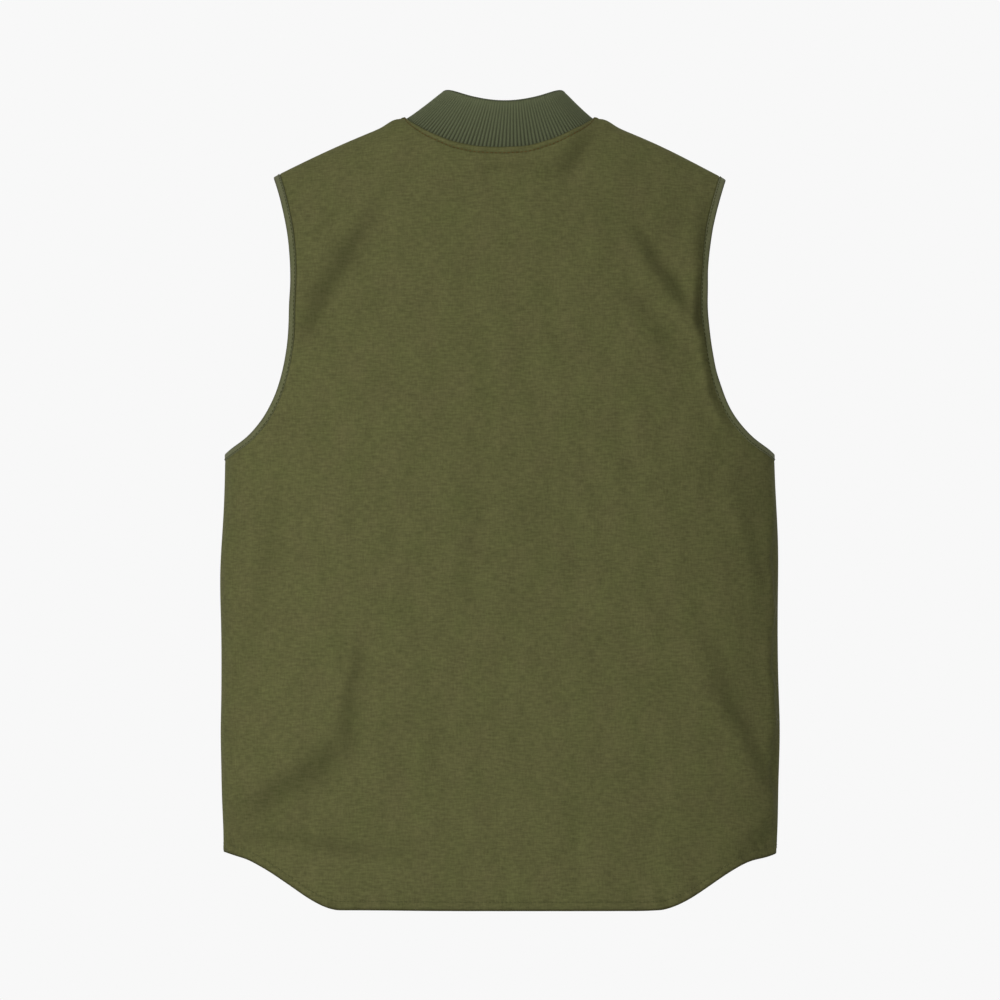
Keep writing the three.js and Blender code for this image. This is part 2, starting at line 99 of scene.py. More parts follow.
# The two faces of the body. Neck and side shares say where the corners of a panel's grid fall.
Face = namedtuple("Face", "name forward reach neck_drop neck_round neck_power neck_share side_share start")
BACK = Face("back", -1, 0.150, 0.0266, 2.25, 1.0, 0.44, 0.53, 0.0)
FRONT = Face("front", 1, 0.260, 0.072, 2.2, 0.85, 0.42, 0.42, ZIP_OPENING / 2)

# Drag folds: each runs from a start, towards a bend, to an end, as distances across and drops, with a
# ridge on its left and a valley on its right. Painted shade darkens the cloth's colour along each fold's
# line.
Fold = namedtuple("Fold", "start bend end width depth")
FOLDS = {
    "back": (
        Fold((-0.178, 0.200), (-0.170, 0.158), (-0.110, 0.080), 0.0116, 0.0036),
        Fold((-0.169, 0.108), (-0.158, 0.095), (-0.141, 0.075), 0.0055, 0.0013),
        Fold((0.181, 0.184), (0.149, 0.144), (0.112, 0.094), 0.0092, 0.0025),
        Fold((0.186, 0.205), (0.173, 0.140), (0.185, 0.075), 0.0074, 0.0026),
        Fold((0.2045, 0.274), (0.176, 0.218), (0.1785, 0.150), 0.0044, 0.0023),
        Fold((0.152, 0.208), (0.132, 0.180), (0.110, 0.150), 0.0100, 0.0010),
        Fold((0.045, 0.050), (0.066, 0.032), (0.086, 0.010), 0.0090, 0.0022),
        Fold((-0.024, 0.0460), (0.003, 0.0448), (0.030, 0.0455), 0.0042, 0.0010),
        Fold((-0.139, 0.562), (-0.133, 0.514), (-0.127, 0.466), 0.0096, 0.0023),
        Fold((-0.241, 0.627), (-0.176, 0.600), (-0.136, 0.552), 0.0165, 0.0036),
        Fold((-0.246, 0.648), (-0.170, 0.642), (-0.088, 0.666), 0.0110, 0.0024),
        Fold((0.249, 0.618), (0.228, 0.570), (0.198, 0.512), 0.0100, 0.0019),
        Fold((0.212, 0.660), (0.232, 0.648), (0.251, 0.626), 0.0090, 0.0018),
        Fold((0.030, 0.280), (0.036, 0.350), (0.034, 0.440), 0.0120, 0.0009),
        Fold((-0.028, 0.430), (-0.030, 0.350), (-0.024, 0.260), 0.0130, 0.0005),
        Fold((-0.067, 0.465), (-0.076, 0.540), (-0.090, 0.616), 0.0085, 0.0009),
        Fold((-0.234, 0.500), (-0.206, 0.420), (-0.197, 0.312), 0.0105, 0.0013),
        Fold((0.233, 0.430), (0.226, 0.380), (0.214, 0.326), 0.0085, 0.0009),
        Fold((0.2458, 0.630), (0.2466, 0.480), (0.2448, 0.330), 0.0046, 0.0024),
        Fold((0.214, 0.545), (0.196, 0.505), (0.182, 0.455), 0.0120, 0.0012),
        Fold((0.092, 0.560), (0.100, 0.620), (0.096, 0.690), 0.0120, 0.0007),
    ),
    "front": (
        Fold((-0.188, 0.262), (-0.150, 0.220), (-0.092, 0.190), 0.0110, 0.0024),
        Fold((0.190, 0.250), (0.150, 0.215), (0.098, 0.200), 0.0110, 0.0024),
        Fold((-0.150, 0.640), (-0.130, 0.560), (-0.122, 0.460), 0.0120, 0.0018),
        Fold((0.164, 0.630), (0.140, 0.560), (0.120, 0.480), 0.0120, 0.0018),
        Fold((0.070, 0.650), (0.072, 0.590), (0.060, 0.520), 0.0110, 0.0010),
        Fold((-0.080, 0.420), (-0.074, 0.360), (-0.066, 0.300), 0.0120, 0.0010),
        Fold((0.180, 0.420), (0.160, 0.380), (0.150, 0.330), 0.0110, 0.0012),
    ),
}
FOLD_PIECES = 8
FOLD_GROWTH = (-0.15, 0.3)
FOLD_DECAY = (0.7, 1.15)
FOLD_FADE = 0.030
FOLD_STRAY = {"across": (0.0018, 0.0007), "down": (0.0016, 0.0006)}
# Painted shade along the folds: the fold depth that gives full strength, its width in fold widths, and its
# strength
FOLD_SHADE = {"depth": 0.0026, "width": 0.8, "strength": 0.36}

# Slow waves over the whole cloth: height, turns for each metre across and down, and where they start
Wave = namedtuple("Wave", "height across down start")
RUMPLES = (
    Wave(0.00042, 19.0, 3.1, 0.4),
    Wave(0.00034, -27.0, 5.3, 1.9),
    Wave(0.00024, 9.0, 21.0, 2.6),
    Wave(0.00018, 41.0, 12.0, 0.9),
    Wave(0.00014, -33.0, 30.0, 4.1),
)

# How the real vest hangs unevenly: a drooping shoulder tip, cloth heaped beside the collar, bulging
# sides, a wavering hem and rounded hem corners, with 1 for the wearer's right and -1 for the left
TIP_DROOP = {"height": 0.0024, "across": (0.125, 0.220), "up": (-0.30, -0.06)}
NECK_HEAP = {"height": 0.0028, "across": 0.0955, "width": 0.0085, "depth": 0.022, "up": (-0.035, -0.008)}
Bulge = namedtuple("Bulge", "side drop reach depth")
SIDE_BULGES = (
    Bulge(-1, 0.408, 0.045, 0.0022),
    Bulge(-1, 0.553, 0.025, 0.0006),
    Bulge(1, 0.382, 0.050, 0.0019),
    Bulge(1, 0.552, 0.042, 0.0016),
    Bulge(-1, 0.655, 0.040, -0.0020),
    Bulge(1, 0.668, 0.026, -0.0016),
)
BULGE_ACROSS = (0.17, 0.25)
Shift = namedtuple("Shift", "across width height")
HEM_SHIFTS = (
    Shift(-0.240, 0.014, -0.0014),
    Shift(-0.195, 0.030, 0.0011),
    Shift(-0.130, 0.060, 0.0006),
    Shift(0.155, 0.017, 0.0010),
    Shift(0.195, 0.030, 0.0011),
    Shift(0.242, 0.015, -0.0032),
)
SHIFT_DROPS = (0.60, SIDE_DROP)
CORNER_ROUND = {1: 0.0026, -1: 0.0012}

# Grid of a panel: steps from a finished edge inwards, the step elsewhere, and the runs that they fill
FINE_STEPS = (0.0002, 0.0003, 0.0005, *[0.001] * 11, 0.0013, 0.0017, 0.0022, 0.0028)
COARSE_STEP = 0.0034
PANEL_WIDTH = 0.30
PANEL_HEIGHT = 0.68
SIDE_BLEND = 2.5
GRAIN_DROP = 0.30
TURN_STEP = 0.0005
DROP_STEP = 0.0002
LINE_POINTS = {
    "curve": 120, "climb": 80, "tail": 60, "straight": 160, "neck": 200, "shoulder": 100, "grain": 400,
}
GRAIN_PIECES = 23
INNER_COLUMN = -6

# Cloth edges, with painted shade in a dark line along each finished edge and a wider one along the hem. A row
# of stitches sinks into the cloth at a distance from an edge, and painted shade darkens the cloth along it.
EDGE_DEPTH = 0.0006
# Painted shade along the finished edges and the hem: its strength, and its width at each
PAINTED_SHADE_STRENGTH = 0.8
PAINTED_SHADE_WIDTH = {"edge": 0.0011, "hem": 0.0024}
HEM_PUFF = {"height": 0.0002, "rise": 0.002, "fall": 0.003}
HEM_PUCKER = {
    "height": 0.0011, "pitch": 0.019, "slant": 0.4,
    "centre": 0.8, "reach": 0.014, "edge": 0.003, "seam": 0.015,
}
HEM_TURN = {"rise": 0.0015, "fall": 0.0012}
NECK_BAND = {"height": 0.0008, "before": 0.001, "after": 0.0002}
StitchRow = namedtuple("StitchRow", "edge distance sink shade")
STITCH_ROWS = (
    StitchRow("hem", "hem_depth", 0.0001, 0.03),
    StitchRow("neck", "neck_band", 0.0004, 0.30),
    StitchRow("armhole", "binding_width", 0.0004, 0.45),
    StitchRow("opening", "zip_margin", 0.0004, 0.4),
)
STITCH_SINK_WIDTH = 0.0011
STITCH_SEED = 3
STITCH_TURN = 0.08
THREAD_LIFT = 0.2
FINE_THREAD = 0.75
NECK_END_SHARE = 0.8

# Armhole tape: how it presses into the cloth, and flattens and sinks where it crosses a seam
TAPE_STEP = 0.0012
TAPE_SMOOTHING = 6
TAPE_PRESS = {"depth": 0.0004, "soft": 0.001}
TAPE_CLEARANCE = 0.0001
TAPE_LIP = 0.35
TAPE_SEAMS = {"flatten": (0.0006, 0.007), "sink": (0.0005, 0.006), "thread": (0.0008, 0.004)}
TAPE_SWELL = {"stitch": 0.00007, "stray": 0.00012}
# Painted shade along the tape's inner edge and a dark line along its outer fold: strength and width of each
TAPE_PAINTED_SHADE = {"edge": (0.25, 0.0008), "nose": (1.0, 0.0011)}
TAPE_THREAD = {"inset": 0.0009, "lift": 0.1}

# Rib collar. Its levels run from 0 at the foot to 1 at the rim.
COLLAR_TUCK = 0.006
COLLAR_SAG = 0.0021
COLLAR_SMOOTHING = 24
COLLAR_LEVELS = (*np.linspace(0, 0.25, 7), *np.linspace(0.25, 0.97, 14)[1:], 1.0)
# Painted shade on the collar: darker towards the foot, and a dark line along the rim
COLLAR_SHADE = {"foot": 0.30, "end": 1.05, "rim": 1.2}
RIB_STEPS = 8
RIB_STRENGTH = {"foot": 1.3, "rim": 0.65, "loss": 0.5, "loss_levels": (0.82, 0.98)}
FURROW_SHARPNESS = 0.8

# Zip. A plate's outline runs up one side, as half widths and shares of its height.
ZIP_STEP = 0.004
ZIP_CLEARANCE = 0.0004
ZIP_RIM_STEPS = 30
ZIP_SMOOTHING = 8
ZIP_TAPE_SECTION = ((-1, -0.3), (-0.98, 0), (-0.6, 0), (-0.2, 0), (0.2, 0), (0.6, 0), (0.98, 0), (1, -0.3))
TOOTH_WIDTH = 0.0038
TOOTH_SHARE = 0.55
TOOTH_STAGGER = 0.0011
TOOTH_PROUD = 0.0006
TOOTH_CREASE = 0.55
Plate = namedtuple("Plate", "height depth below proud outline")
SLIDER_PLATES = (
    Plate(0.013, 0.0034, 0.0125, 0.0006, ((0.0036, -0.5), (0.0036, 0), (0.0044, 0.3), (0.00352, 0.5))),
    Plate(
        0.026, 0.0016, 0.0255, 0.0027,
        ((0.00224, -0.5), (0.0032, -0.42), (0.0032, -0.2), (0.0022, 0.3), (0.00154, 0.5)),
    ),
)
PLATE_BEVEL = 0.28
PLATE_GRID = 0.000002

FLOOR_SIDES = 96
FLOOR_GLOW = 0.42
LAMPS = ("key", "fill", "left", "right", "top")


def smooth(value, start, end):
    """Smooth step from 0 at start to 1 at end."""
    t = np.clip((value - start) / (end - start), 0, 1)
    return t * t * (3 - 2 * t)


def plateau(value, rise, fall):
    """1 between a smooth rise and a smooth fall, each given by its start and end."""
    return smooth(value, *rise) * (1 - smooth(value, *fall))


def bell(value, centre, width):
    """Smooth bump of height 1."""
    return np.exp(-(((value - centre) / width) ** 2))


def unit(vectors):
    """Vectors scaled to length 1."""
    return vectors / np.linalg.norm(vectors, axis=-1, keepdims=True)


def run_length(points, axis=0):
    """Distance travelled along an axis of a grid of points."""
    steps = np.linalg.norm(np.diff(points, axis=axis), axis=-1)
    start = np.zeros_like(np.take(steps, [0], axis=axis))
    return np.concatenate([start, np.cumsum(steps, axis=axis)], axis=axis)


def sample(values, at, where):
    """Rows of values, known at increasing places, read at other places."""
    return np.stack([np.interp(where, at, column) for column in values.T], axis=-1)


def pairs(first, second):
    """Two coordinates, spread over each other, as points of a plane."""
    return np.stack(np.broadcast_arrays(first, second), axis=-1)


# Form of the body


def torso(column, drop):
    """The torso table, read smoothly at any drop."""
    rows = np.array(TORSO[column])
    place = (drop - TORSO_TOP) / TORSO_STEP
    low = np.clip(np.floor(place), 1, len(rows) - 3).astype(int)
    t = np.clip(place - low, 0, 1)
    before, start, end, after = (rows[low + offset] for offset in (-1, 0, 1, 2))
    bend = (1 - t) * (end - before) / 2 - t * (after - start) / 2
    return start + (end - start) * t * t * (3 - 2 * t) + t * (1 - t) * bend


def turn_of(across, drop):
    """Turn round the body, from 0 at the centre line to 1 at the side seam."""
    share = np.clip(across / torso("half_width", drop), 0, 1)
    return np.arcsin(share ** (SECTION_POWER / 2)) * 2 / math.pi


def ridge_drop(across):
    """Drop of the ridge where back and front meet."""
    run = SHOULDER_HALF_WIDTH - NECK_HALF_WIDTH
    slope = (SHOULDER_DROP - math.pi * SHOULDER_BOW) / run
    power = slope * NECK_HALF_WIDTH / NECK_RIDGE_RISE
    over_neck = -NECK_RIDGE_RISE * (1 - np.clip(across / NECK_HALF_WIDTH, 0, 1) ** power)
    along = (across - NECK_HALF_WIDTH) / run
    seam = SHOULDER_DROP * along - SHOULDER_BOW * np.sin(math.pi * np.clip(along, 0, 1))
    return np.where(across < NECK_HALF_WIDTH, over_neck, seam)


def neck_drop(face, across):
    """Drop of the neck edge of a face."""
    share = np.clip(across / NECK_HALF_WIDTH, 0, 1)
    return face.neck_drop * (1 - share**face.neck_round) ** face.neck_power


def body_points(face, turn, drop):
    """Points of a face of the body on the wearer's right."""
    turn, drop = np.broadcast_arrays(turn, drop)
    quarter = np.clip(turn, 0, 1) * math.pi / 2
    across = torso("half_width", drop) * np.sin(quarter) ** (2 / SECTION_POWER)
    fall = np.clip((drop - ridge_drop(across)) / face.reach, 0, 1)
    crown = np.sqrt(1 - (1 - fall) ** 2)
    round_off = np.clip(np.cos(quarter), 0, 1) ** (2 / SECTION_POWER)
    depth = torso(face.name, drop) * round_off * crown
    return np.stack([across, face.forward * depth, -drop], axis=-1)


def rumple(x, drop):
    """Height of the slow waves, which bend and swell at rates that keep them from repeating."""
    height = np.zeros_like(x)
    for wave in RUMPLES:
        bend = 0.9 * np.sin(11 * drop + 1.7 * wave.start) + 0.7 * np.sin(14 * x + wave.start)
        swell = 0.6 + 0.4 * np.sin(17 * x - 13 * drop + 2.3 * wave.start)
        turn = 2 * math.pi * (wave.across * x + wave.down * drop) + bend + wave.start
        height += wave.height * swell * np.sin(turn)
    return height


def fold_lift(face, x, drop):
    """How far the folds lift the cloth, and how much painted shade darkens its colour along each fold.

    The folds stray from their paths, slowly and quickly, at rates that keep them from repeating.
    """
    slow, quick = FOLD_STRAY["across"]
    stray_x = slow * np.sin(70 * drop + 3 * np.sin(40 * x)) + quick * np.sin(190 * drop + 60 * x)
    slow, quick = FOLD_STRAY["down"]
    stray_drop = slow * np.sin(60 * x + 1.1) + quick * np.sin(210 * x + 70 * drop)
    place = pairs(x + stray_x, drop + stray_drop)[..., None, :]
    lift, shade = rumple(x, drop), np.zeros_like(x)
    steps = np.linspace(0, 1, FOLD_PIECES + 1)[:, None]
    for fold in FOLDS[face.name]:
        start, bend, end = (np.array(point) for point in (fold.start, fold.bend, fold.end))
        path = (1 - steps) ** 2 * start + 2 * steps * (1 - steps) * bend + steps**2 * end
        run = np.diff(path, axis=0)
        length = np.linalg.norm(run, axis=1)
        off = place - path[:-1]
        along = (off * run).sum(-1) / length**2
        along[..., 1:] = np.maximum(along[..., 1:], 0)
        along[..., :-1] = np.minimum(along[..., :-1], 1)
        gap = np.linalg.norm(off - along[..., None] * run, axis=-1)
        near = gap.argmin(-1)[..., None]
        beside = (off[..., 0] * run[:, 1] - off[..., 1] * run[:, 0]) / length / fold.width
        beside = np.take_along_axis(beside, near, -1)[..., 0]
        share = (np.take_along_axis(along, near, -1)[..., 0] + near[..., 0]) / FOLD_PIECES
        depth = fold.depth * plateau(share, FOLD_GROWTH, FOLD_DECAY)
        lift += depth * beside * np.exp((1 - beside**2) / 2)
        # Painted shade, darkest on the fold's line
        shade += depth / FOLD_SHADE["depth"] * bell(beside, 0, FOLD_SHADE["width"])
    return lift, FOLD_SHADE["strength"] * shade


def hang(points):
    """The same points on the real vest, which hangs a little unevenly."""
    x, y, z = (points[..., axis].copy() for axis in range(3))
    z -= TIP_DROOP["height"] * smooth(x, *TIP_DROOP["across"]) * smooth(z, *TIP_DROOP["up"])
    heap = bell(np.abs(x), NECK_HEAP["across"], NECK_HEAP["width"]) * bell(y, 0, NECK_HEAP["depth"])
    z += NECK_HEAP["height"] * heap * smooth(z, *NECK_HEAP["up"])
    for bulge in SIDE_BULGES:
        near_side = smooth(bulge.side * x, *BULGE_ACROSS)
        x += bulge.side * bulge.depth * bell(-z, bulge.drop, bulge.reach) * near_side
    low = smooth(-z, *SHIFT_DROPS)
    z += sum(shift.height * bell(x, shift.across, shift.width) for shift in HEM_SHIFTS) * low
    for side, radius in CORNER_ROUND.items():
        a = np.clip(side * x - (torso("half_width", SIDE_DROP) - radius), 0, None)
        b = np.clip(-z - (SIDE_DROP - radius), 0, None)
        pull = np.where((a > 0) & (b > 0), np.maximum(a, b) / np.maximum(np.hypot(a, b), 1e-9) - 1, 0)
        x += side * a * pull
        z -= b * pull
    return np.stack([x, y, z], axis=-1)


# Edges of a panel, as turns and drops


def bezier(count, *handles):
    """Points of a cubic curve."""
    t = np.linspace(0, 1, count)[:, None]
    a, b, c, d = (np.array(handle) for handle in handles)
    return (1 - t) ** 3 * a + 3 * (1 - t) ** 2 * t * b + 3 * (1 - t) * t**2 * c + t**3 * d


def edge_reader(face, line):
    """Reads a line of across and drop by its share of the length on the body."""
    places = pairs(turn_of(line[:, 0], line[:, 1]), line[:, 1])
    length = run_length(body_points(face, places[:, 0], places[:, 1]))
    return lambda share: sample(places, length, share * length[-1])


def armhole_line():
    """Cloth edge of an armhole, from the underarm to the shoulder tip."""
    foot = np.array([ARMHOLE_HALF_WIDTH - EDGE_SETBACK, ARMHOLE_DROP])
    drop = UNDERARM_DROP + EDGE_SETBACK
    underarm = np.array([torso("half_width", drop), drop])
    out, up, down = (UNDERARM_HANDLES[key] for key in ("out", "up", "down"))
    lower = bezier(LINE_POINTS["curve"], underarm, underarm - (out, up), foot + (0, down), foot)
    climb = np.linspace(0, 1, LINE_POINTS["climb"])
    tip_drop = ridge_drop(np.array(SHOULDER_HALF_WIDTH - EDGE_SETBACK))
    flare = (SHOULDER_HALF_WIDTH - ARMHOLE_HALF_WIDTH) * climb**ARMHOLE_TOP_POWER
    upper = pairs(foot[0] + flare, foot[1] + (tip_drop - foot[1]) * climb)
    return np.concatenate([lower, upper[1:]])


def hem_line(face):
    """Hem of a panel from its centre to the side seam."""
    corner = (torso("half_width", np.array(SIDE_DROP)), SIDE_DROP)
    if face is BACK:
        flat = pairs(np.linspace(0, TAIL_HALF_WIDTH, LINE_POINTS["tail"]), TAIL_DROP)
        rise = bezier(LINE_POINTS["curve"], flat[-1], *TAIL_HANDLES, corner)
        return np.concatenate([flat, rise[1:]])
    t = np.linspace(0, 1, LINE_POINTS["straight"])
    across = face.start + (corner[0] - face.start) * np.sin(t * math.pi / 2)
    return pairs(across, SIDE_DROP + FRONT_HEM_DIP * (1 - t) ** 2)


def run_shares(length, fine_start, fine_end):
    """Even shares of a run, with fine steps at its finished ends."""
    start = FINE_STEPS if fine_start else ()
    end = FINE_STEPS[::-1] if fine_end else ()
    rest = length - sum(start) - sum(end)
    middle = round(rest / COARSE_STEP)
    steps = [*start, *[rest / middle] * middle, *end]
    return np.concatenate([[0], np.cumsum(steps)]) / length


def split_shares(share, first, second):
    """Two runs of shares that meet at a corner, and the corner's index."""
    return np.concatenate([first * share, share + second[1:] * (1 - share)]), len(first) - 1


def panel_places(face):
    """Turns and drops of one half of a panel, blended from its edges, and its corners' indices."""
    neck_x = np.linspace(face.start, NECK_HALF_WIDTH, LINE_POINTS["neck"])
    seam_x = np.linspace(NECK_HALF_WIDTH, SHOULDER_HALF_WIDTH - EDGE_SETBACK, LINE_POINTS["shoulder"])
    side_drop = np.linspace(SIDE_DROP, UNDERARM_DROP + EDGE_SETBACK, LINE_POINTS["straight"])
    foot, head = hem_line(face)[0, 1], neck_drop(face, np.array(face.start))
    lines = (
        pairs(neck_x, neck_drop(face, neck_x)),
        pairs(seam_x, ridge_drop(seam_x)),
        armhole_line(),
        pairs(torso("half_width", side_drop), side_drop),
        hem_line(face),
        pairs(face.start, np.linspace(foot, head, LINE_POINTS["straight"])),
    )
    neck, shoulder, armhole, side, hem, centre = (edge_reader(face, line) for line in lines)
    neck_run = run_shares(PANEL_WIDTH * face.neck_share, face is FRONT, False)
    shoulder_run = run_shares(PANEL_WIDTH * (1 - face.neck_share), False, True)
    side_run = run_shares(PANEL_HEIGHT * face.side_share, True, False)
    armhole_run = run_shares(PANEL_HEIGHT * (1 - face.side_share), False, True)
    u, corner = split_shares(face.neck_share, neck_run, shoulder_run)
    v, underarm = split_shares(face.side_share, side_run, armhole_run)
    top = np.concatenate([neck(neck_run), shoulder(shoulder_run)[1:]])
    outer = np.concatenate([side(side_run), armhole(armhole_run)[1:]])
    bottom, inner = hem(u), centre(v)
    across, up = u[None, :, None] ** SIDE_BLEND, v[:, None, None]
    places = bottom[None] * (1 - up) + top[None] * up
    places = places + inner[:, None] * (1 - across) + outer[:, None] * across
    places -= (bottom[0] * (1 - across) + bottom[-1] * across) * (1 - up)
    places -= (top[0] * (1 - across) + top[-1] * across) * up
    return np.clip(places[..., 0], 0, 1), places[..., 1], corner, underarm


# Cloth of a panel


def surface_normals(shape, turn, drop, forward):
    """Outward normals of a surface given by turn and drop."""
    ahead, behind = (np.clip(turn + step, 0, 1) for step in (TURN_STEP, -TURN_STEP))
    across = shape(ahead, drop) - shape(behind, drop)
    down = shape(turn, drop + DROP_STEP) - shape(turn, drop - DROP_STEP)
    return unit(np.cross(across, down)) * forward


def cloth_map(face, turn, drop):
    """Place of each point on the flat cloth, across the grain and along it."""
    turns = np.linspace(0, 1, LINE_POINTS["grain"])
    section = run_length(body_points(face, turns, GRAIN_DROP))
    drops = GRAIN_DROP + (drop - GRAIN_DROP)[..., None] * np.linspace(0, 1, GRAIN_PIECES + 1)
    down = run_length(body_points(face, turn[..., None], drops), axis=2)[..., -1]
    return pairs(np.interp(turn, turns, section), np.sign(GRAIN_DROP - drop) * down)


@lru_cache
def half_panel(face, side):
    """One half of a panel: its outer face before any edge is finished, and distances from its edges."""
    turn, drop, corner, underarm = panel_places(face)

    def plain(turn, drop):
        return body_points(face, turn, drop)

    def folded(turn, drop):
        points = plain(turn, drop)
        lift = fold_lift(face, side * points[..., 0], drop)[0] * smooth(np.abs(points[..., 1]), 0, FOLD_FADE)
        return points + surface_normals(plain, turn, drop, face.forward) * lift[..., None]

    points = folded(turn, drop)
    normals = surface_normals(folded, turn, drop, face.forward)
    normals[-1, corner:, 1] = 0
    normals[: underarm + 1, -1, 1] = 0
    up, out = run_length(points, axis=0), run_length(points, axis=1)
    hem, top, seam = up, up[-1] - up, out[:, -1:] - out
    neck, armhole = top.copy(), seam.copy()
    neck[:, corner + 1 :] = np.linalg.norm(points[:, corner + 1 :] - points[-1, corner], axis=-1)
    armhole[:underarm] = np.linalg.norm(points[:underarm] - points[underarm, -1], axis=-1)
    opening = out if face is FRONT else np.full_like(out, 1.0)
    mirror = np.array([side, 1, 1])
    return {
        "points": points * mirror,
        "normals": unit(normals) * mirror,
        "cloth": cloth_map(face, turn, drop) * mirror[:2],
        "shade": fold_lift(face, side * points[..., 0], drop)[1],
        "hem": hem,
        "neck": neck,
        "armhole": armhole,
        "opening": opening,
        "seam": seam,
        "edge": np.minimum.reduce([hem, top, seam, opening]),
        "corner": corner,
        "underarm": underarm,
        "forward": face.forward,
    }


def hem_pucker(along, hem):
    """Slanted puckers that the hem's stitching draws up, at rates that keep them from repeating."""
    turn = 2 * math.pi * (along + HEM_PUCKER["slant"] * hem) / HEM_PUCKER["pitch"]
    strength = 0.6 + 0.4 * np.sin(turn * 0.145 + 1)
    return HEM_PUCKER["height"] * np.sin(turn + 1.7 * np.sin(turn * 0.23)) * strength


def cloth_relief(half, sizes):
    """Lift of the outer face near the edges, thickening of the inner one, and a mask of painted shade along
    the folds, the edges and the stitching.
    """
    hem, depth, band, tape = half["hem"], sizes.hem_depth, sizes.neck_band, sizes.binding_width
    pucker = hem_pucker(half["cloth"][..., 0], hem) * smooth(half["seam"], 0, HEM_PUCKER["seam"])
    lift = HEM_PUFF["height"] * plateau(hem, (0, HEM_PUFF["rise"]), (depth - HEM_PUFF["fall"], depth))
    pucker *= bell(hem, depth * HEM_PUCKER["centre"], HEM_PUCKER["reach"])
    lift += pucker * smooth(hem, 0, HEM_PUCKER["edge"])
    in_band = 1 - smooth(half["neck"], band - NECK_BAND["before"], band + NECK_BAND["after"])
    in_tape = 1 - smooth(half["armhole"], tape - TAPE_PRESS["soft"], tape + TAPE_PRESS["soft"])
    lift += NECK_BAND["height"] * in_band - TAPE_PRESS["depth"] * in_tape
    # Painted shade: the folds' shade, dark lines along the finished edges and the hem, and shade along each
    # row of stitches
    crease = half["shade"].copy()
    for edge, width in PAINTED_SHADE_WIDTH.items():
        crease += PAINTED_SHADE_STRENGTH * bell(half[edge], 0, width)
    for row in STITCH_ROWS:
        sunk = bell(half[row.edge], getattr(sizes, row.distance), STITCH_SINK_WIDTH)
        lift -= row.sink * sunk
        crease += row.shade * sunk
    thicken = sizes.hem_turn * plateau(hem, (0, HEM_TURN["rise"]), (depth, depth + HEM_TURN["fall"]))
    return lift, thicken, np.clip(crease, 0, 1)


def finish_half(half, sizes):
    """A half panel with its finished outer and inner faces, rolled together at its edges."""
    lift, thicken, crease = cloth_relief(half, sizes)
    edge = half["edge"]

    def roll(radius):
        short = np.clip(1 - edge / radius, 0, 1)
        return radius * (1 - np.sqrt(1 - short**2))

    outward = lift - roll(EDGE_DEPTH)
    inward = roll(sizes.canvas_thickness - EDGE_DEPTH) - sizes.canvas_thickness - thicken
    faces = {}
    for name, offset in (("outer", outward), ("inner", inward)):
        offset = np.where(edge <= 0, -EDGE_DEPTH, offset)
        faces[name] = half["points"] + half["normals"] * offset[..., None]
    return {**half, **faces, "crease": crease}


# Meshes


def mesh_object(name, mesh, material):
    """A smooth object of a mesh, at the origin."""
    mesh.shade_smooth()
    mesh.materials.append(material)
    piece = bpy.data.objects.new(name, mesh)
    bpy.context.scene.collection.objects.link(piece)
    return piece


def mesh_piece(name, points, faces, material, cloth=None, values=None):
    """A mesh object with its UV map and its point attributes."""
    mesh = bpy.data.meshes.new(name)
    mesh.from_pydata(points.reshape(-1, 3).tolist(), [], faces)
    if cloth is not None:
        corners = np.empty(len(mesh.loops), dtype=np.int32)
        mesh.loops.foreach_get("vertex_index", corners)
        flat = cloth.reshape(-1, 2)[corners].astype(np.float32)
        mesh.uv_layers.new(name="cloth").data.foreach_set("uv", flat.ravel())
    for key, value in (values or {}).items():
        vectors = value.size == points.size
        attribute = mesh.attributes.new(key, "FLOAT_VECTOR" if vectors else "FLOAT", "POINT")
        attribute.data.foreach_set("vector" if vectors else "value", value.astype(np.float32).ravel())
    mesh.validate()
    mesh.update()
    return mesh_object(name, mesh, material)


def grid_faces(index, flip):
    """Quads of a grid of vertex indices."""
    near, far = index[:-1], index[1:]
    quads = np.stack([near[:, :-1], near[:, 1:], far[:, 1:], far[:, :-1]], axis=-1).reshape(-1, 4)
    return (quads[:, ::-1] if flip else quads).tolist()


def tube_faces(stations, around, closed, flip):
    """Faces of a tube through like sections, closed on itself or with flat ends from side to side."""
    index = np.arange(stations * around).reshape(stations, around)
    index = np.concatenate([index, index[:, :1]], axis=1)
    if closed:
        return grid_faces(np.concatenate([index, index[:1]]), flip)
    faces = grid_faces(index, flip)
    last = (stations - 1) * around
    for row in range((around - 1) // 2):
        other = around - 1 - row
        cap = list(dict.fromkeys((row, row + 1, other - 1, other)))
        faces += [cap, [last + corner for corner in reversed(cap)]]
    return faces


def shell_piece(name, grid, flip, material):
    """A closed wall whose outer and inner faces share their edges."""
    rows, columns = grid["outer"].shape[:2]
    outer_index = np.arange(rows * columns).reshape(rows, columns)
    inner_index = outer_index.copy()
    inner_count = (rows - 2) * (columns - 2)
    inner_index[1:-1, 1:-1] = rows * columns + np.arange(inner_count).reshape(rows - 2, columns - 2)

    def both(outside, inside):
        tail = outside.shape[2:]
        return np.concatenate([outside.reshape(-1, *tail), inside[1:-1, 1:-1].reshape(-1, *tail)])

    points = hang(both(grid["outer"], grid["inner"]))
    faces = grid_faces(outer_index, flip) + grid_faces(inner_index, not flip)
    cloth, crease = (both(grid[key], grid[key]) for key in ("cloth", "crease"))
    return mesh_piece(name, points, faces, material, cloth, {"crease": crease})


def path_object(name, lines, material, closed=False):
    """Loose edges along lines of points, all open or all closed."""
    points, edges = [], []
    for line in lines:
        first = len(points)
        points.extend(hang(line).tolist())
        edges.extend((step, step + 1) for step in range(first, len(points) - 1))
        if closed:
            edges.append((len(points) - 1, first))
    mesh = bpy.data.meshes.new(name)
    mesh.from_pydata(points, edges, [])
    return mesh_object(name, mesh, material)


# Node trees


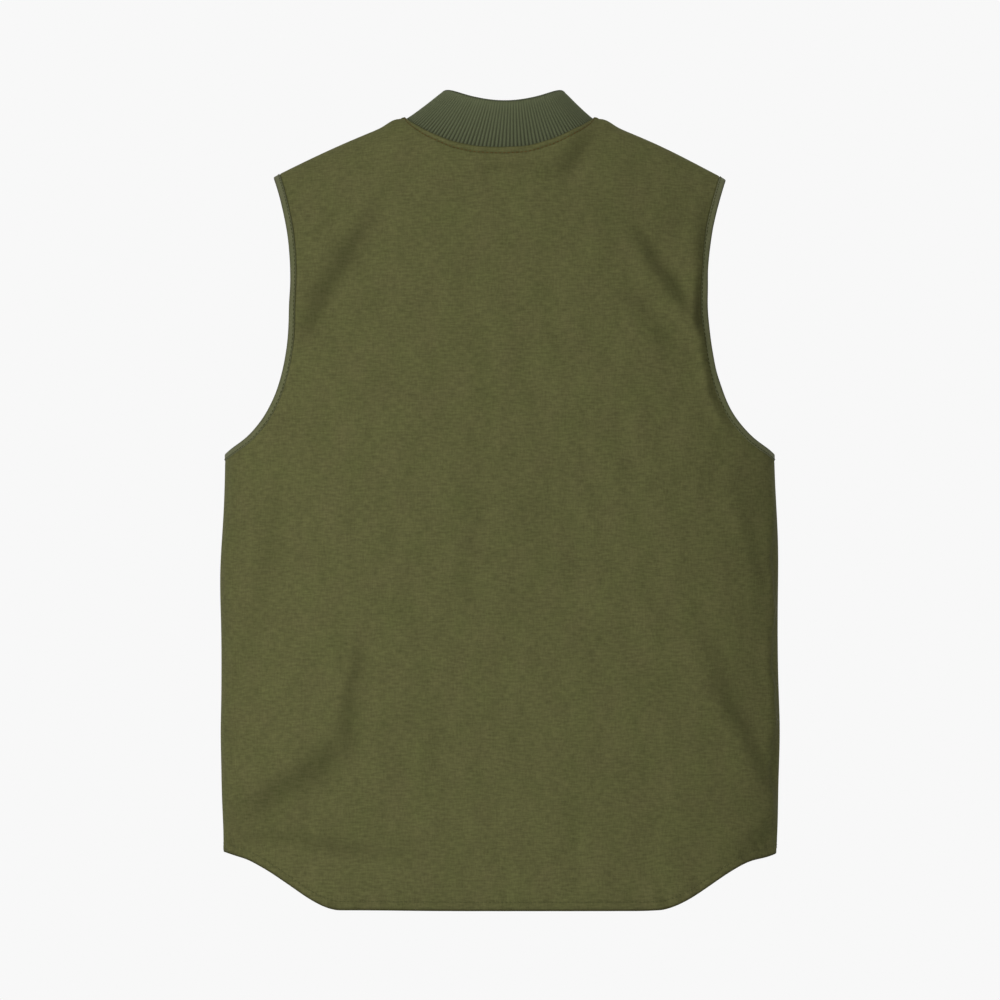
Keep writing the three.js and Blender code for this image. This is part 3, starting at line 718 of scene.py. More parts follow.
def add_node(tree, kind, inputs=None, **settings):
    """A node with its settings, and with its inputs set or linked."""
    node = tree.nodes.new(kind)
    for key, value in settings.items():
        setattr(node, key, value)
    for key, value in (inputs or {}).items():
        if isinstance(value, bpy.types.NodeSocket):
            tree.links.new(value, node.inputs[key])
        else:
            node.inputs[key].default_value = value
    return node


def made(tree, kind, inputs=None, **settings):
    """First output of a new node."""
    return add_node(tree, kind, inputs, **settings).outputs[0]


def calc(tree, operation, *values):
    """Output of a Math node."""
    return made(tree, "ShaderNodeMath", dict(enumerate(values)), operation=operation)


def connect(tree, sockets, values):
    """Links each value to the socket of its name."""
    for name, value in values.items():
        tree.links.new(value, sockets[name])


def new_tree(kind, name, source, sizes, results):
    """A node group that takes a source and named sizes, with its group input and output sockets.

    Geometry Nodes also take a material, and put out geometry where a shader group puts out values.
    """
    tree = bpy.data.node_groups.new(name, f"{kind}NodeTree")
    taken, put_out = ("Geometry", "Geometry") if kind == "Geometry" else ("Vector", "Float")
    sockets = [("INPUT", source, taken)]
    for size, default in sizes.items():
        sockets.append(("INPUT", size, "Int" if isinstance(default, int) else "Float"))
    if kind == "Geometry":
        sockets.append(("INPUT", "Material", "Material"))
    sockets += [("OUTPUT", label, put_out) for label in results]
    for way, label, value in sockets:
        socket = tree.interface.new_socket(label, in_out=way, socket_type=f"NodeSocket{value}")
        if label in sizes:
            socket.default_value = sizes[label]
    return tree, tree.nodes.new("NodeGroupInput").outputs, tree.nodes.new("NodeGroupOutput").inputs


def nodes_to_mesh(piece, tree, values):
    """Runs a Geometry Nodes tree on a piece and keeps its result as a plain mesh."""
    modifier = piece.modifiers.new(tree.name, "NODES")
    modifier.node_group = tree
    for item in tree.interface.items_tree:
        if item.in_out == "INPUT" and item.name in values:
            modifier[item.identifier] = values[item.name]
    bpy.context.view_layer.update()
    evaluated = piece.evaluated_get(bpy.context.evaluated_depsgraph_get())
    mesh = bpy.data.meshes.new_from_object(evaluated)
    piece.modifiers.remove(modifier)
    old = piece.data
    piece.data = mesh
    bpy.data.meshes.remove(old)
    mesh.name = piece.name
    if not mesh.polygons:
        raise RuntimeError(f"{piece.name} came out empty")
    return piece


def finish_tree(tree, geometry, given, result):
    """Realizes the instances, smooths them and gives them their material."""
    real = made(tree, "GeometryNodeRealizeInstances", {0: geometry})
    even = made(tree, "GeometryNodeSetShadeSmooth", {0: real})
    done = made(tree, "GeometryNodeSetMaterial", {"Geometry": even, "Material": given["Material"]})
    tree.links.new(done, result[0])
    return tree


def path_steps(tree, path, step):
    """Points at even steps along a path of loose edges, and the direction of the path there."""
    curve = made(tree, "GeometryNodeMeshToCurve", {0: path})
    points = made(tree, "GeometryNodeResampleCurve", {"Curve": curve, "Length": step}, mode="LENGTH")
    return points, made(tree, "GeometryNodeInputTangent")


def stitch_tree():
    """Grains of thread laid end to end along a path, each turned a little at random."""
    sizes = {"Stitch Length": 0.0026, "Stitch Gap": 0.0006, "Thread Width": 0.0006, "Seed": STITCH_SEED}
    tree, given, result = new_tree("Geometry", "Stitch Line", "Path", sizes, ["Stitches"])
    pitch = calc(tree, "ADD", given["Stitch Length"], given["Stitch Gap"])
    points, tangent = path_steps(tree, given["Path"], pitch)
    aligned = made(tree, "FunctionNodeAlignRotationToVector", {"Vector": tangent}, axis="X")
    spread = {"Min": [-STITCH_TURN] * 3, "Max": [STITCH_TURN] * 3, "Seed": given["Seed"]}
    jitter = made(tree, "FunctionNodeRandomValue", spread, data_type="FLOAT_VECTOR")
    turn = {"Rotation": aligned, "Rotate By": jitter}
    turned = made(tree, "FunctionNodeRotateRotation", turn, rotation_space="LOCAL")
    grain = made(tree, "GeometryNodeMeshUVSphere", {"Segments": 6, "Rings": 5, "Radius": 0.5})
    thread = given["Thread Width"]
    size = made(tree, "ShaderNodeCombineXYZ", {0: given["Stitch Length"], 1: thread, 2: thread})
    sized = made(tree, "GeometryNodeTransform", {"Geometry": grain, "Scale": size})
    laid = {"Points": points, "Instance": sized, "Rotation": turned}
    return finish_tree(tree, made(tree, "GeometryNodeInstanceOnPoints", laid), given, result)


def rib_tree():
    """Ridges and furrows of rib knit, worked along the stored directions of a wall."""
    sizes = {"Rib Count": 146, "Rib Depth": 0.001, "Furrow Sharpness": FURROW_SHARPNESS}
    tree, given, result = new_tree("Geometry", "Rib Wall", "Wall", sizes, ["Ribs"])
    attribute = "GeometryNodeInputNamedAttribute"
    share = made(tree, attribute, {"Name": "share"}, data_type="FLOAT")
    lift = made(tree, attribute, {"Name": "rib_lift"}, data_type="FLOAT_VECTOR")
    angle = calc(tree, "MULTIPLY", calc(tree, "MULTIPLY", share, given["Rib Count"]), math.pi)
    swing = calc(tree, "ABSOLUTE", calc(tree, "COSINE", angle))
    ridge = calc(tree, "SUBTRACT", calc(tree, "POWER", swing, given["Furrow Sharpness"]), 0.5)
    height = calc(tree, "MULTIPLY", ridge, given["Rib Depth"])
    offset = made(tree, "ShaderNodeVectorMath", {0: lift, "Scale": height}, operation="SCALE")
    moved = made(tree, "GeometryNodeSetPosition", {"Geometry": given["Wall"], "Offset": offset})
    return finish_tree(tree, moved, given, result)


def tooth_tree():
    """Zip teeth set by turns on the left and right of a path."""
    sizes = {
        "Tooth Pitch": 0.0026, "Tooth Width": 0.0036, "Tooth Rise": 0.0022, "Tooth Length": 0.0015,
        "Stagger": 0.001,
    }
    tree, given, result = new_tree("Geometry", "Zip Teeth", "Path", sizes, ["Teeth"])
    points, tangent = path_steps(tree, given["Path"], calc(tree, "MULTIPLY", given["Tooth Pitch"], 0.5))
    aligned = made(tree, "FunctionNodeAlignRotationToVector", {"Vector": tangent}, axis="Z", pivot_axis="X")
    odd = calc(tree, "MODULO", made(tree, "GeometryNodeInputIndex"), 2.0)
    swing = calc(tree, "SUBTRACT", calc(tree, "MULTIPLY", odd, 2.0), 1.0)
    shift = made(tree, "ShaderNodeCombineXYZ", {0: calc(tree, "MULTIPLY", swing, given["Stagger"])})
    spread = made(tree, "GeometryNodeSetPosition", {"Geometry": points, "Offset": shift})
    lengths = (given[name] for name in ("Tooth Width", "Tooth Rise", "Tooth Length"))
    size = made(tree, "ShaderNodeCombineXYZ", dict(enumerate(lengths)))
    block = made(tree, "GeometryNodeMeshCube", {"Size": size})
    rounding = {"Mesh": block, "Level": 1, "Edge Crease": TOOTH_CREASE}
    tooth = made(tree, "GeometryNodeSubdivisionSurface", rounding)
    laid = {"Points": spread, "Instance": tooth, "Rotation": aligned}
    return finish_tree(tree, made(tree, "GeometryNodeInstanceOnPoints", laid), given, result)


# Shader effects


def noise(tree, vector, stretch=None, detail=2.0, roughness=0.5):
    """Noise over a plane, from 0 to 1, at one cell for each unit of a vector that may be stretched first."""
    if stretch:
        vector = made(tree, "ShaderNodeVectorMath", {0: vector, 1: (*stretch, 0)}, operation="MULTIPLY")
    inputs = {"Vector": vector, "Scale": 1.0, "Detail": detail, "Roughness": roughness}
    return made(tree, "ShaderNodeTexNoise", inputs, noise_dimensions="2D")


def arch(tree, value):
    """An arch of height 1 over each whole step of a value."""
    offset = calc(tree, "SUBTRACT", calc(tree, "FRACT", value), 0.5)
    return calc(tree, "MULTIPLY_ADD", calc(tree, "MULTIPLY", offset, offset), -4.0, 1.0)


def weave_group():
    """Yarns of a plain weave: their height, and a tone for each yarn that varies along it."""
    sizes = {"Warp Pitch": 0.0007, "Weft Pitch": 0.0007}
    tree, given, result = new_tree("Shader", "Plain Weave", "Cloth", sizes, ["Tone", "Height"])
    slow = {"Vector": given["Cloth"], "Scale": 70.0, "Detail": 2.0}
    wander = add_node(tree, "ShaderNodeTexNoise", slow, noise_dimensions="2D").outputs["Color"]
    stray = {0: wander, 1: (0.004, 0.004, 0), 2: given["Cloth"]}
    strayed = made(tree, "ShaderNodeVectorMath", stray, operation="MULTIPLY_ADD")
    parts = add_node(tree, "ShaderNodeSeparateXYZ", {0: strayed}).outputs
    yarns = [calc(tree, "DIVIDE", parts[axis], given[pitch]) for axis, pitch in enumerate(sizes)]
    rows = [calc(tree, "FLOOR", yarn) for yarn in yarns]
    arches = [arch(tree, yarn) for yarn in yarns]
    heights, tones = [], []
    for own, other, start in ((0, 1, 0.0), (1, 0, 53.0)):
        lean = calc(tree, "MULTIPLY_ADD", arches[other], 0.5, 0.5)
        heights.append(calc(tree, "MULTIPLY", arches[own], lean))
        lane = calc(tree, "MULTIPLY_ADD", rows[own], 7.31, start)
        along = calc(tree, "MULTIPLY", yarns[other], 0.12)
        tones.append(noise(tree, made(tree, "ShaderNodeCombineXYZ", {0: lane, 1: along})))
    over = calc(tree, "PINGPONG", calc(tree, "ADD", *rows), 1.0)
    for label, (warp, weft) in (("Height", heights), ("Tone", tones)):
        mixed = made(tree, "ShaderNodeMix", {"Factor": over, 2: weft, 3: warp}, data_type="FLOAT")
        tree.links.new(mixed, result[label])
    return tree


def slub_group():
    """Short thick places of the yarns, across and along the cloth, and wider faint clouds and hues."""
    tree, given, result = new_tree("Shader", "Slub And Cloud", "Cloth", {}, ["Slub", "Cloud", "Hue"])
    weft = noise(tree, given["Cloth"], (130, 560))
    warp = noise(tree, given["Cloth"], (620, 170))
    slub = calc(tree, "MULTIPLY_ADD", weft, 0.62, calc(tree, "MULTIPLY", warp, 0.38))
    cloud = noise(tree, given["Cloth"], (44, 26), 3.0, 0.6)
    hue = calc(tree, "MULTIPLY_ADD", noise(tree, given["Cloth"], (-37, 31)), 1.1, -0.05)
    connect(tree, result, {"Slub": slub, "Cloud": cloud, "Hue": hue})
    return tree


def knit_group():
    """Stitches of rib knit: two legs of each loop lean against each other along a rib."""
    results = ["Tone", "Height", "Furrow"]
    tree, given, result = new_tree("Shader", "Knit Loops", "Ribs", {"Loop Height": 0.0016}, results)
    parts = add_node(tree, "ShaderNodeSeparateXYZ", {0: given["Ribs"]}).outputs
    centred = calc(tree, "SUBTRACT", calc(tree, "FRACT", calc(tree, "ADD", parts[0], 0.5)), 0.5)
    off = calc(tree, "ABSOLUTE", centred)
    rows = calc(tree, "DIVIDE", parts[1], given["Loop Height"])
    leg = arch(tree, calc(tree, "MULTIPLY_ADD", off, 1.6, rows))
    # How far a point lies from a rib's middle, which the finish turns into painted shade in the furrows
    furrow = calc(tree, "POWER", calc(tree, "MULTIPLY", off, 2.0), 2.0)
    fuzz = noise(tree, given["Ribs"], (3.0, 700), 3.0)
    connect(tree, result, {"Tone": fuzz, "Height": leg, "Furrow": furrow})
    return tree


GROUPS = {
    "Stitch Line": stitch_tree,
    "Rib Wall": rib_tree,
    "Zip Teeth": tooth_tree,
    "Plain Weave": weave_group,
    "Slub And Cloud": slub_group,
    "Knit Loops": knit_group,
}


def node_group(name):
    """A node group, built when it is first asked for."""
    return bpy.data.node_groups.get(name) or GROUPS[name]()


# Finishes


def scaled(colour, *factors):
    """A colour with its brightness, or each of its channels, multiplied."""
    factors = factors * (3 // len(factors))
    return (*(min(1.0, channel * factor) for channel, factor in zip(colour, factors)), 1.0)


def use_group(tree, name, inputs):
    """Outputs of a shared shader effect placed in a material."""
    return add_node(tree, "ShaderNodeGroup", inputs, node_tree=node_group(name)).outputs


def stored(tree, name):
    """A value stored on the points of the mesh."""
    return add_node(tree, "ShaderNodeAttribute", attribute_name=name).outputs["Fac"]


def tone_mix(tree, *weighted):
    """Sum of tones about one half, each with its weight."""
    total = 0.5
    for tone, weight in weighted:
        total = calc(tree, "MULTIPLY_ADD", calc(tree, "SUBTRACT", tone, 0.5), weight, total)
    return total


def varied(tree, tone, mean, change):
    """A value that varies about its mean as a tone varies from 0 to 1."""
    return calc(tree, "MULTIPLY_ADD", tone, 2 * change, mean - change)


def tinted(tree, factor, dark, light):
    """A colour between two, by a factor that varies over the surface."""
    inputs = {"Factor": factor, 6: dark, 7: light}
    return add_node(tree, "ShaderNodeMix", inputs, data_type="RGBA", clamp_factor=True).outputs[2]


def bumped(tree, height, distance, strength):
    """A normal bent by a height."""
    return made(tree, "ShaderNodeBump", {"Height": height, "Distance": distance, "Strength": strength})


# One column sets how far the painted shade stored on the mesh darkens the colour
Woven = namedtuple("Woven", "roughness sheen specular warp weft yarn slub cloud gap crease bump")
CANVAS = Woven(0.92, 0.0, 0.03, 0.00062, 0.00070, 0.36, 1.05, 0.26, 0.06, 0.7, 0.00014)
TAPE = Woven(0.86, 0.08, 0.03, 0.0011, 0.0005, 0.45, 0.4, 0.10, 0.18, 0.9, 0.00018)
ZIP_CLOTH = TAPE._replace(warp=0.0008, weft=0.0008)
DYES = ((0.965, 1.014, 0.94), (1.035, 0.986, 1.045))
# Two columns set the strength of painted shade: in the furrows, and from the shade that the mesh stores
Knit = namedtuple("Knit", "roughness sheen specular furrow shade bump")
RIB = Knit(0.91, 0.05, 0.1, 0.62, 0.5, 0.0003)
Plain = namedtuple("Plain", "roughness sheen specular grain")
THREAD = Plain(0.8, 0.0, 0.1, 2600.0)
NECK_THREAD = THREAD._replace(grain=420.0)
MOULDING = Plain(0.5, 0.0, 0.4, 1800.0)
PALE = Plain(0.95, 0.0, 0.0, 0.0)


def woven_finish(tree, shader, colour, look):
    """Woven cloth, with its yarns, slubs, faint clouds, two dyes and the painted shade that the mesh stores.
    """
    cloth = made(tree, "ShaderNodeUVMap", uv_map="cloth")
    yarn = use_group(tree, "Plain Weave", {"Cloth": cloth, "Warp Pitch": look.warp, "Weft Pitch": look.weft})
    slub = use_group(tree, "Slub And Cloud", {"Cloth": cloth})
    weights = ((yarn["Tone"], look.yarn), (slub["Slub"], look.slub), (slub["Cloud"], look.cloud))
    tone = tone_mix(tree, *weights, (yarn["Height"], look.gap))
    hues = [scaled(colour, *dye) for dye in DYES]
    dyes = [tinted(tree, tone, scaled(hue, 0.55), scaled(hue, 1.45)) for hue in hues]
    # Painted shade, mixed towards a darker copy of the colour
    crease = calc(tree, "MULTIPLY", stored(tree, "crease"), look.crease)
    height = calc(tree, "MULTIPLY_ADD", slub["Slub"], 0.8, yarn["Height"])
    connect(tree, shader, {
        "Base Color": tinted(tree, crease, tinted(tree, slub["Hue"], *dyes), scaled(colour, 0.3)),
        "Normal": bumped(tree, height, look.bump, 0.8),
        "Roughness": varied(tree, slub["Slub"], look.roughness, 0.06),
    })


def knit_finish(tree, shader, colour, look):
    """Rib knit, with painted shade in its furrows, towards the neck seam and along the rim."""
    loops = use_group(tree, "Knit Loops", {"Ribs": made(tree, "ShaderNodeUVMap", uv_map="cloth")})
    tone = tone_mix(tree, (loops["Tone"], 0.7), (loops["Height"], 0.3))
    base = tinted(tree, tone, scaled(colour, 0.65), scaled(colour, 1.35))
    # Painted shade in the furrows between the ribs
    furrow = calc(tree, "MULTIPLY", loops["Furrow"], stored(tree, "rib_strength"))
    furrow = calc(tree, "MULTIPLY", furrow, look.furrow)
    dark = calc(tree, "MULTIPLY_ADD", stored(tree, "crease"), look.shade, furrow)
    height = calc(tree, "MULTIPLY_ADD", loops["Tone"], 0.4, loops["Height"])
    connect(tree, shader, {
        "Base Color": tinted(tree, dark, base, scaled(colour, 0.25)),
        "Normal": bumped(tree, height, look.bump, 0.7),
        "Roughness": varied(tree, loops["Tone"], look.roughness, 0.05),
    })


def plain_finish(tree, shader, colour, look):
    """A fine grain on Object coordinates, for thread and moulded pieces."""
    place = add_node(tree, "ShaderNodeTexCoord").outputs["Object"]
    speckle = made(tree, "ShaderNodeTexNoise", {"Vector": place, "Scale": look.grain, "Detail": 3.0})
    connect(tree, shader, {
        "Base Color": tinted(tree, speckle, scaled(colour, 0.7), scaled(colour, 1.3)),
        "Normal": bumped(tree, speckle, 0.00008, 0.5),
        "Roughness": varied(tree, speckle, look.roughness, 0.1),
    })


def floor_finish(tree, shader, colour, look):
    """A floor that shows paler than it lights."""
    for socket in ("Base Color", "Emission Color"):
        shader[socket].default_value = (*colour, 1.0)
    seen = made(tree, "ShaderNodeLightPath")
    connect(tree, shader, {"Emission Strength": calc(tree, "MULTIPLY", seen, FLOOR_GLOW)})


FINISHES = {
    "olive canvas": (woven_finish, "canvas", CANVAS),
    "armhole tape": (woven_finish, "tape", TAPE),
    "zip cloth": (woven_finish, "zip_tape", ZIP_CLOTH),
    "olive rib": (knit_finish, "rib", RIB),
    "neck thread": (plain_finish, "neck_thread", NECK_THREAD),
    "armhole thread": (plain_finish, "armhole_thread", THREAD),
    "olive thread": (plain_finish, "olive_thread", THREAD),
    "zip moulding": (plain_finish, "zip_teeth", MOULDING),
    "pale floor": (floor_finish, "floor", PALE),
}


def make_material(name, colours):
    """One of the finishes, made when it is first asked for."""
    if name in bpy.data.materials:
        return bpy.data.materials[name]
    finish, colour, look = FINISHES[name]
    material = bpy.data.materials.new(name)
    material.use_nodes = True
    shader = material.node_tree.nodes["Principled BSDF"].inputs
    shader["Roughness"].default_value = look.roughness
    shader["Sheen Weight"].default_value = look.sheen
    shader["Sheen Roughness"].default_value = 0.6
    shader["Specular IOR Level"].default_value = look.specular
    finish(material.node_tree, shader, getattr(colours, colour), look)
    return material


# Panels


def settings(context):
    """The vest's sizes, colours and stage."""
    vest = context.scene.canvas_vest
    return vest.sizes, vest.colours, vest.stage


def dress(piece, slot, *nodes):
    """Puts a piece on the vest's body in place of its solids."""
    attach(piece, BODY)
    for node in nodes:
        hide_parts(node)
    return piece


def sew(name, lines, thread, sizes, width=1.0, closed=False):
    """Stitches along some lines, as one piece, in a thread of a share of the full width."""
    values = {
        "Stitch Length": sizes.stitch_length,
        "Stitch Gap": sizes.stitch_gap,
        "Thread Width": sizes.thread_width * width,
        "Seed": STITCH_SEED,
        "Material": thread,
    }
    piece = path_object(name, lines, thread, closed)
    return dress(nodes_to_mesh(piece, node_group("Stitch Line"), values), "canvas")


def level_line(points, distance, level):
    """Points where the distance, growing along each row, reaches a level."""
    return np.array([sample(row, gap, level) for row, gap in zip(points, distance)])


def raised(line, half, sizes):
    """A line of stitches moved out of the cloth that they are sewn in."""
    return line + (0, half["forward"] * sizes.thread_width * THREAD_LIFT, 0)


def hem_path(half, sizes):
    """Line of the hem's stitching on a half panel."""
    line = level_line(half["outer"].swapaxes(0, 1), half["hem"].T, sizes.hem_depth)
    return raised(line, half, sizes)


def neck_path(half, sizes):
    """Line of the neck's stitching on a half panel, ending at the shoulder seam."""
    corner, band = half["corner"], sizes.neck_band
    top = half["outer"][-1, corner:]
    along = run_length(top)
    near = corner + 1 + np.flatnonzero(along[1:] < band * NECK_END_SHARE)
    chosen = [*range(corner + 1), *near]
    columns, gaps = half["outer"][::-1].swapaxes(0, 1), half["neck"][::-1].T
    line = level_line(columns[chosen], gaps[chosen], band)
    return raised(np.concatenate([line, sample(top, along, band)[None]]), half, sizes)


def opening_path(half, sizes):
    """Line of stitching along the zip's edge of a front, between its hem and neck stitching."""
    line = level_line(half["outer"], half["opening"], sizes.zip_margin)
    length = run_length(line)
    between = (length > sizes.hem_depth) & (length < length[-1] - sizes.neck_band)
    return raised(line[between], half, sizes)


class CANVASVEST_OT_back(bpy.types.Operator):
    """Makes the back in one piece of canvas, with its tail hem and stitching"""

    bl_idname = "canvas_vest.back"
    bl_label = "Back"

    def execute(self, context):
        sizes, colours, _ = settings(context)
        left, right = (finish_half(half_panel(BACK, side), sizes) for side in (-1, 1))
        grids = ("outer", "inner", "cloth", "crease")
        joined = {key: np.concatenate([left[key][:, :0:-1], right[key]], axis=1) for key in grids}
        piece = shell_piece("back_cloth", joined, False, make_material("olive canvas", colours))
        dress(piece, "canvas", "back_panel")
        for path, place, thread in ((hem_path, "hem", "olive thread"), (neck_path, "neck", "neck thread")):
            line = np.concatenate([path(left, sizes)[:0:-1], path(right, sizes)])
            sew(f"back_{place}_stitches", [line], make_material(thread, colours), sizes)
        return {"FINISHED"}


class CANVASVEST_OT_fronts(bpy.types.Operator):
    """Makes the left and right fronts in canvas, with their hems and stitching"""

    bl_idname = "canvas_vest.fronts"
    bl_label = "Fronts"

    def execute(self, context):
        sizes, colours, _ = settings(context)
        canvas, thread = (make_material(name, colours) for name in ("olive canvas", "olive thread"))
        for name, side in SIDES.items():
            half = finish_half(half_panel(FRONT, side), sizes)
            piece = shell_piece(f"front_cloth_{name}", half, side > 0, canvas)
            dress(piece, "canvas", f"front_panel_{name}")
            lines = [path(half, sizes) for path in (hem_path, neck_path, opening_path)]
            stitches = sew(f"front_stitches_{name}", lines, thread, sizes, FINE_THREAD)
        return {"FINISHED"}


# Armhole tape


def armhole_ring(back, front, sizes):
    """Even stations round an armhole: middle of the cloth edge, direction out of the cloth, normal."""
    rows = [(back, row) for row in range(back["points"].shape[0] - 1, back["underarm"] - 1, -1)]
    rows += [(front, row) for row in range(front["underarm"] + 1, front["points"].shape[0] - 1)]
    point = np.array([half["points"][row, -1] for half, row in rows])
    normal = np.array([half["normals"][row, -1] for half, row in rows])
    inward = np.array([half["points"][row, INNER_COLUMN] for half, row in rows]) - point
    bundle = np.concatenate([point - normal * sizes.canvas_thickness / 2, normal, unit(inward)], axis=1)
    bundle = np.concatenate([bundle, bundle[:1]])
    length = run_length(bundle[:, :3])
    count = round(length[-1] / TAPE_STEP)
    even = sample(bundle, length, np.arange(count) * length[-1] / count)
    for _ in range(TAPE_SMOOTHING):
        even = (np.roll(even, 1, axis=0) + 2 * even + np.roll(even, -1, axis=0)) / 4
    point, normal, inward = even[:, :3], unit(even[:, 3:6]), even[:, 6:]
    tangent = unit(np.roll(point, -1, axis=0) - np.roll(point, 1, axis=0))
    normal = unit(normal - tangent * (normal * tangent).sum(1, keepdims=True))
    out = np.cross(tangent, normal)
    out *= -np.sign((out * inward).sum())
    return point, out, normal, length[-1]


def tape_seat(sizes):
    """Distance of the tape's inner face from the middle of the cloth."""
    return sizes.canvas_thickness / 2 - TAPE_PRESS["depth"] + TAPE_CLEARANCE


def tape_section(sizes):
    """Section of the folded tape, a row for each corner: out of the cloth edge, along its normal, swell."""
    inside, width, nose = tape_seat(sizes), sizes.binding_width, EDGE_SETBACK
    outside, lip = inside + sizes.tape_thickness, TAPE_LIP * sizes.tape_thickness
    upper = [(-width - 0.4 * lip, inside + lip, 0.0), (-width - 0.2 * lip, outside - lip, 0.4)]
    upper += [(leg, outside, 1.0 if leg < -0.001 else 0.5) for leg in np.linspace(-width, 0, 6)]
    angles = np.linspace(math.pi / 2, -math.pi / 2, 11)[1:-1]
    bend = [(nose * math.cos(angle), outside * math.sin(angle), 0.3) for angle in angles]
    lower = [(out, -rise, -swell) for out, rise, swell in reversed(upper)]
    lining = [(-width, -inside), (0.0, -inside), (0.3 * nose, 0.0), (0.0, inside), (-width, inside)]
    return np.array([*upper, *bend, *lower, *((out, rise, 0.0) for out, rise in lining)])


def seam_bells(along, seams, depth, width):
    """Sum of like bumps at the seams that the tape crosses."""
    return depth * sum(bell(along, seam, width) for seam in seams)


class CANVASVEST_OT_bindings(bpy.types.Operator):
    """Makes the folded tape of each armhole, stitched down along its edge"""

    bl_idname = "canvas_vest.bindings"
    bl_label = "Armhole Bindings"

    def execute(self, context):
        sizes, colours, _ = settings(context)
        woven, thread = (make_material(name, colours) for name in ("armhole tape", "armhole thread"))
        section = tape_section(sizes)
        (edge, edge_width), (nose, nose_width) = TAPE_PAINTED_SHADE["edge"], TAPE_PAINTED_SHADE["nose"]
        for name, side in SIDES.items():
            back, front = half_panel(BACK, side), half_panel(FRONT, side)
            point, out, normal, length = armhole_ring(back, front, sizes)
            along = np.arange(len(point)) * length / len(point)
            shoulder = (0, length)
            seams = (*shoulder, run_length(back["points"][back["underarm"] :, -1])[-1])
            pull = 2 * math.pi * along / length * round(length / (sizes.stitch_length + sizes.stitch_gap))
            stray = np.sin(along * 210) * np.sin(along * 37)
            swell = TAPE_SWELL["stitch"] * np.sin(pull) + TAPE_SWELL["stray"] * stray
            swell -= seam_bells(along, seams, *TAPE_SEAMS["flatten"])
            point = point - normal * seam_bells(along, seams, *TAPE_SEAMS["sink"])[:, None]
            rise = section[:, 1] + section[:, 2] * swell[:, None]
            across = np.broadcast_to(section[:, 0], rise.shape)
            points = point[:, None] + out[:, None] * across[..., None] + normal[:, None] * rise[..., None]
            # Painted shade along the tape's inner edge and along its outer fold
            crease = edge * bell(across, -sizes.binding_width, edge_width)
            crease = crease + nose * bell(across, EDGE_SETBACK, nose_width)
            cloth = pairs(along[:, None], run_length(pairs(across[0], rise[0])))
            faces = tube_faces(*rise.shape, True, side > 0)
            values = {"crease": crease}
            piece = mesh_piece(f"armhole_tape_{name}", hang(points), faces, woven, cloth, values)
            dress(piece, "binding_tape", f"armhole_binding_{name}")
            seat = tape_seat(sizes) + sizes.tape_thickness + swell + sizes.thread_width * TAPE_THREAD["lift"]
            seat -= seam_bells(along, shoulder, *TAPE_SEAMS["thread"])
            line = point - out * (sizes.binding_width - TAPE_THREAD["inset"]) + normal * seat[:, None]
            stitches = sew(f"armhole_stitches_{name}", [line], thread, sizes, FINE_THREAD, True)
        return {"FINISHED"}


# Rib collar


def neck_line(sizes):
    """Middle of the cloth along the neck edge, from the left of the zip round the back to its right."""
    lines = []
    for face, side, backwards in ((FRONT, -1, False), (BACK, -1, True), (BACK, 1, False), (FRONT, 1, True)):
        half = half_panel(face, side)
        row = slice(0, half["corner"] + 1)
        middle = half["points"][-1, row] - half["normals"][-1, row] * sizes.canvas_thickness / 2
        lines.append(middle[::-1] if backwards else middle)
    left, back_left, back_right, right = lines
    return np.concatenate([left[:-1], back_left, back_right[1:], right[1:]])


def rim_points(angle):
    """Rim of the collar by angle from the centre back, negative on the left."""
    height = RIM_HEIGHT["mean"] + RIM_HEIGHT["tilt"] * np.cos(angle)
    height = height + RIM_HEIGHT["saddle"] * np.cos(2 * angle)
    height = height - RIM_DIP["height"] * (1 - smooth(np.abs(angle), *RIM_DIP["angles"]))
    across = RIM_ASIDE * np.cos(angle / 2) + RIM_HALF_WIDTH * np.sin(angle)
    return np.stack([across, RIM_FORWARD - RIM_HALF_DEPTH * np.cos(angle), height], axis=-1)


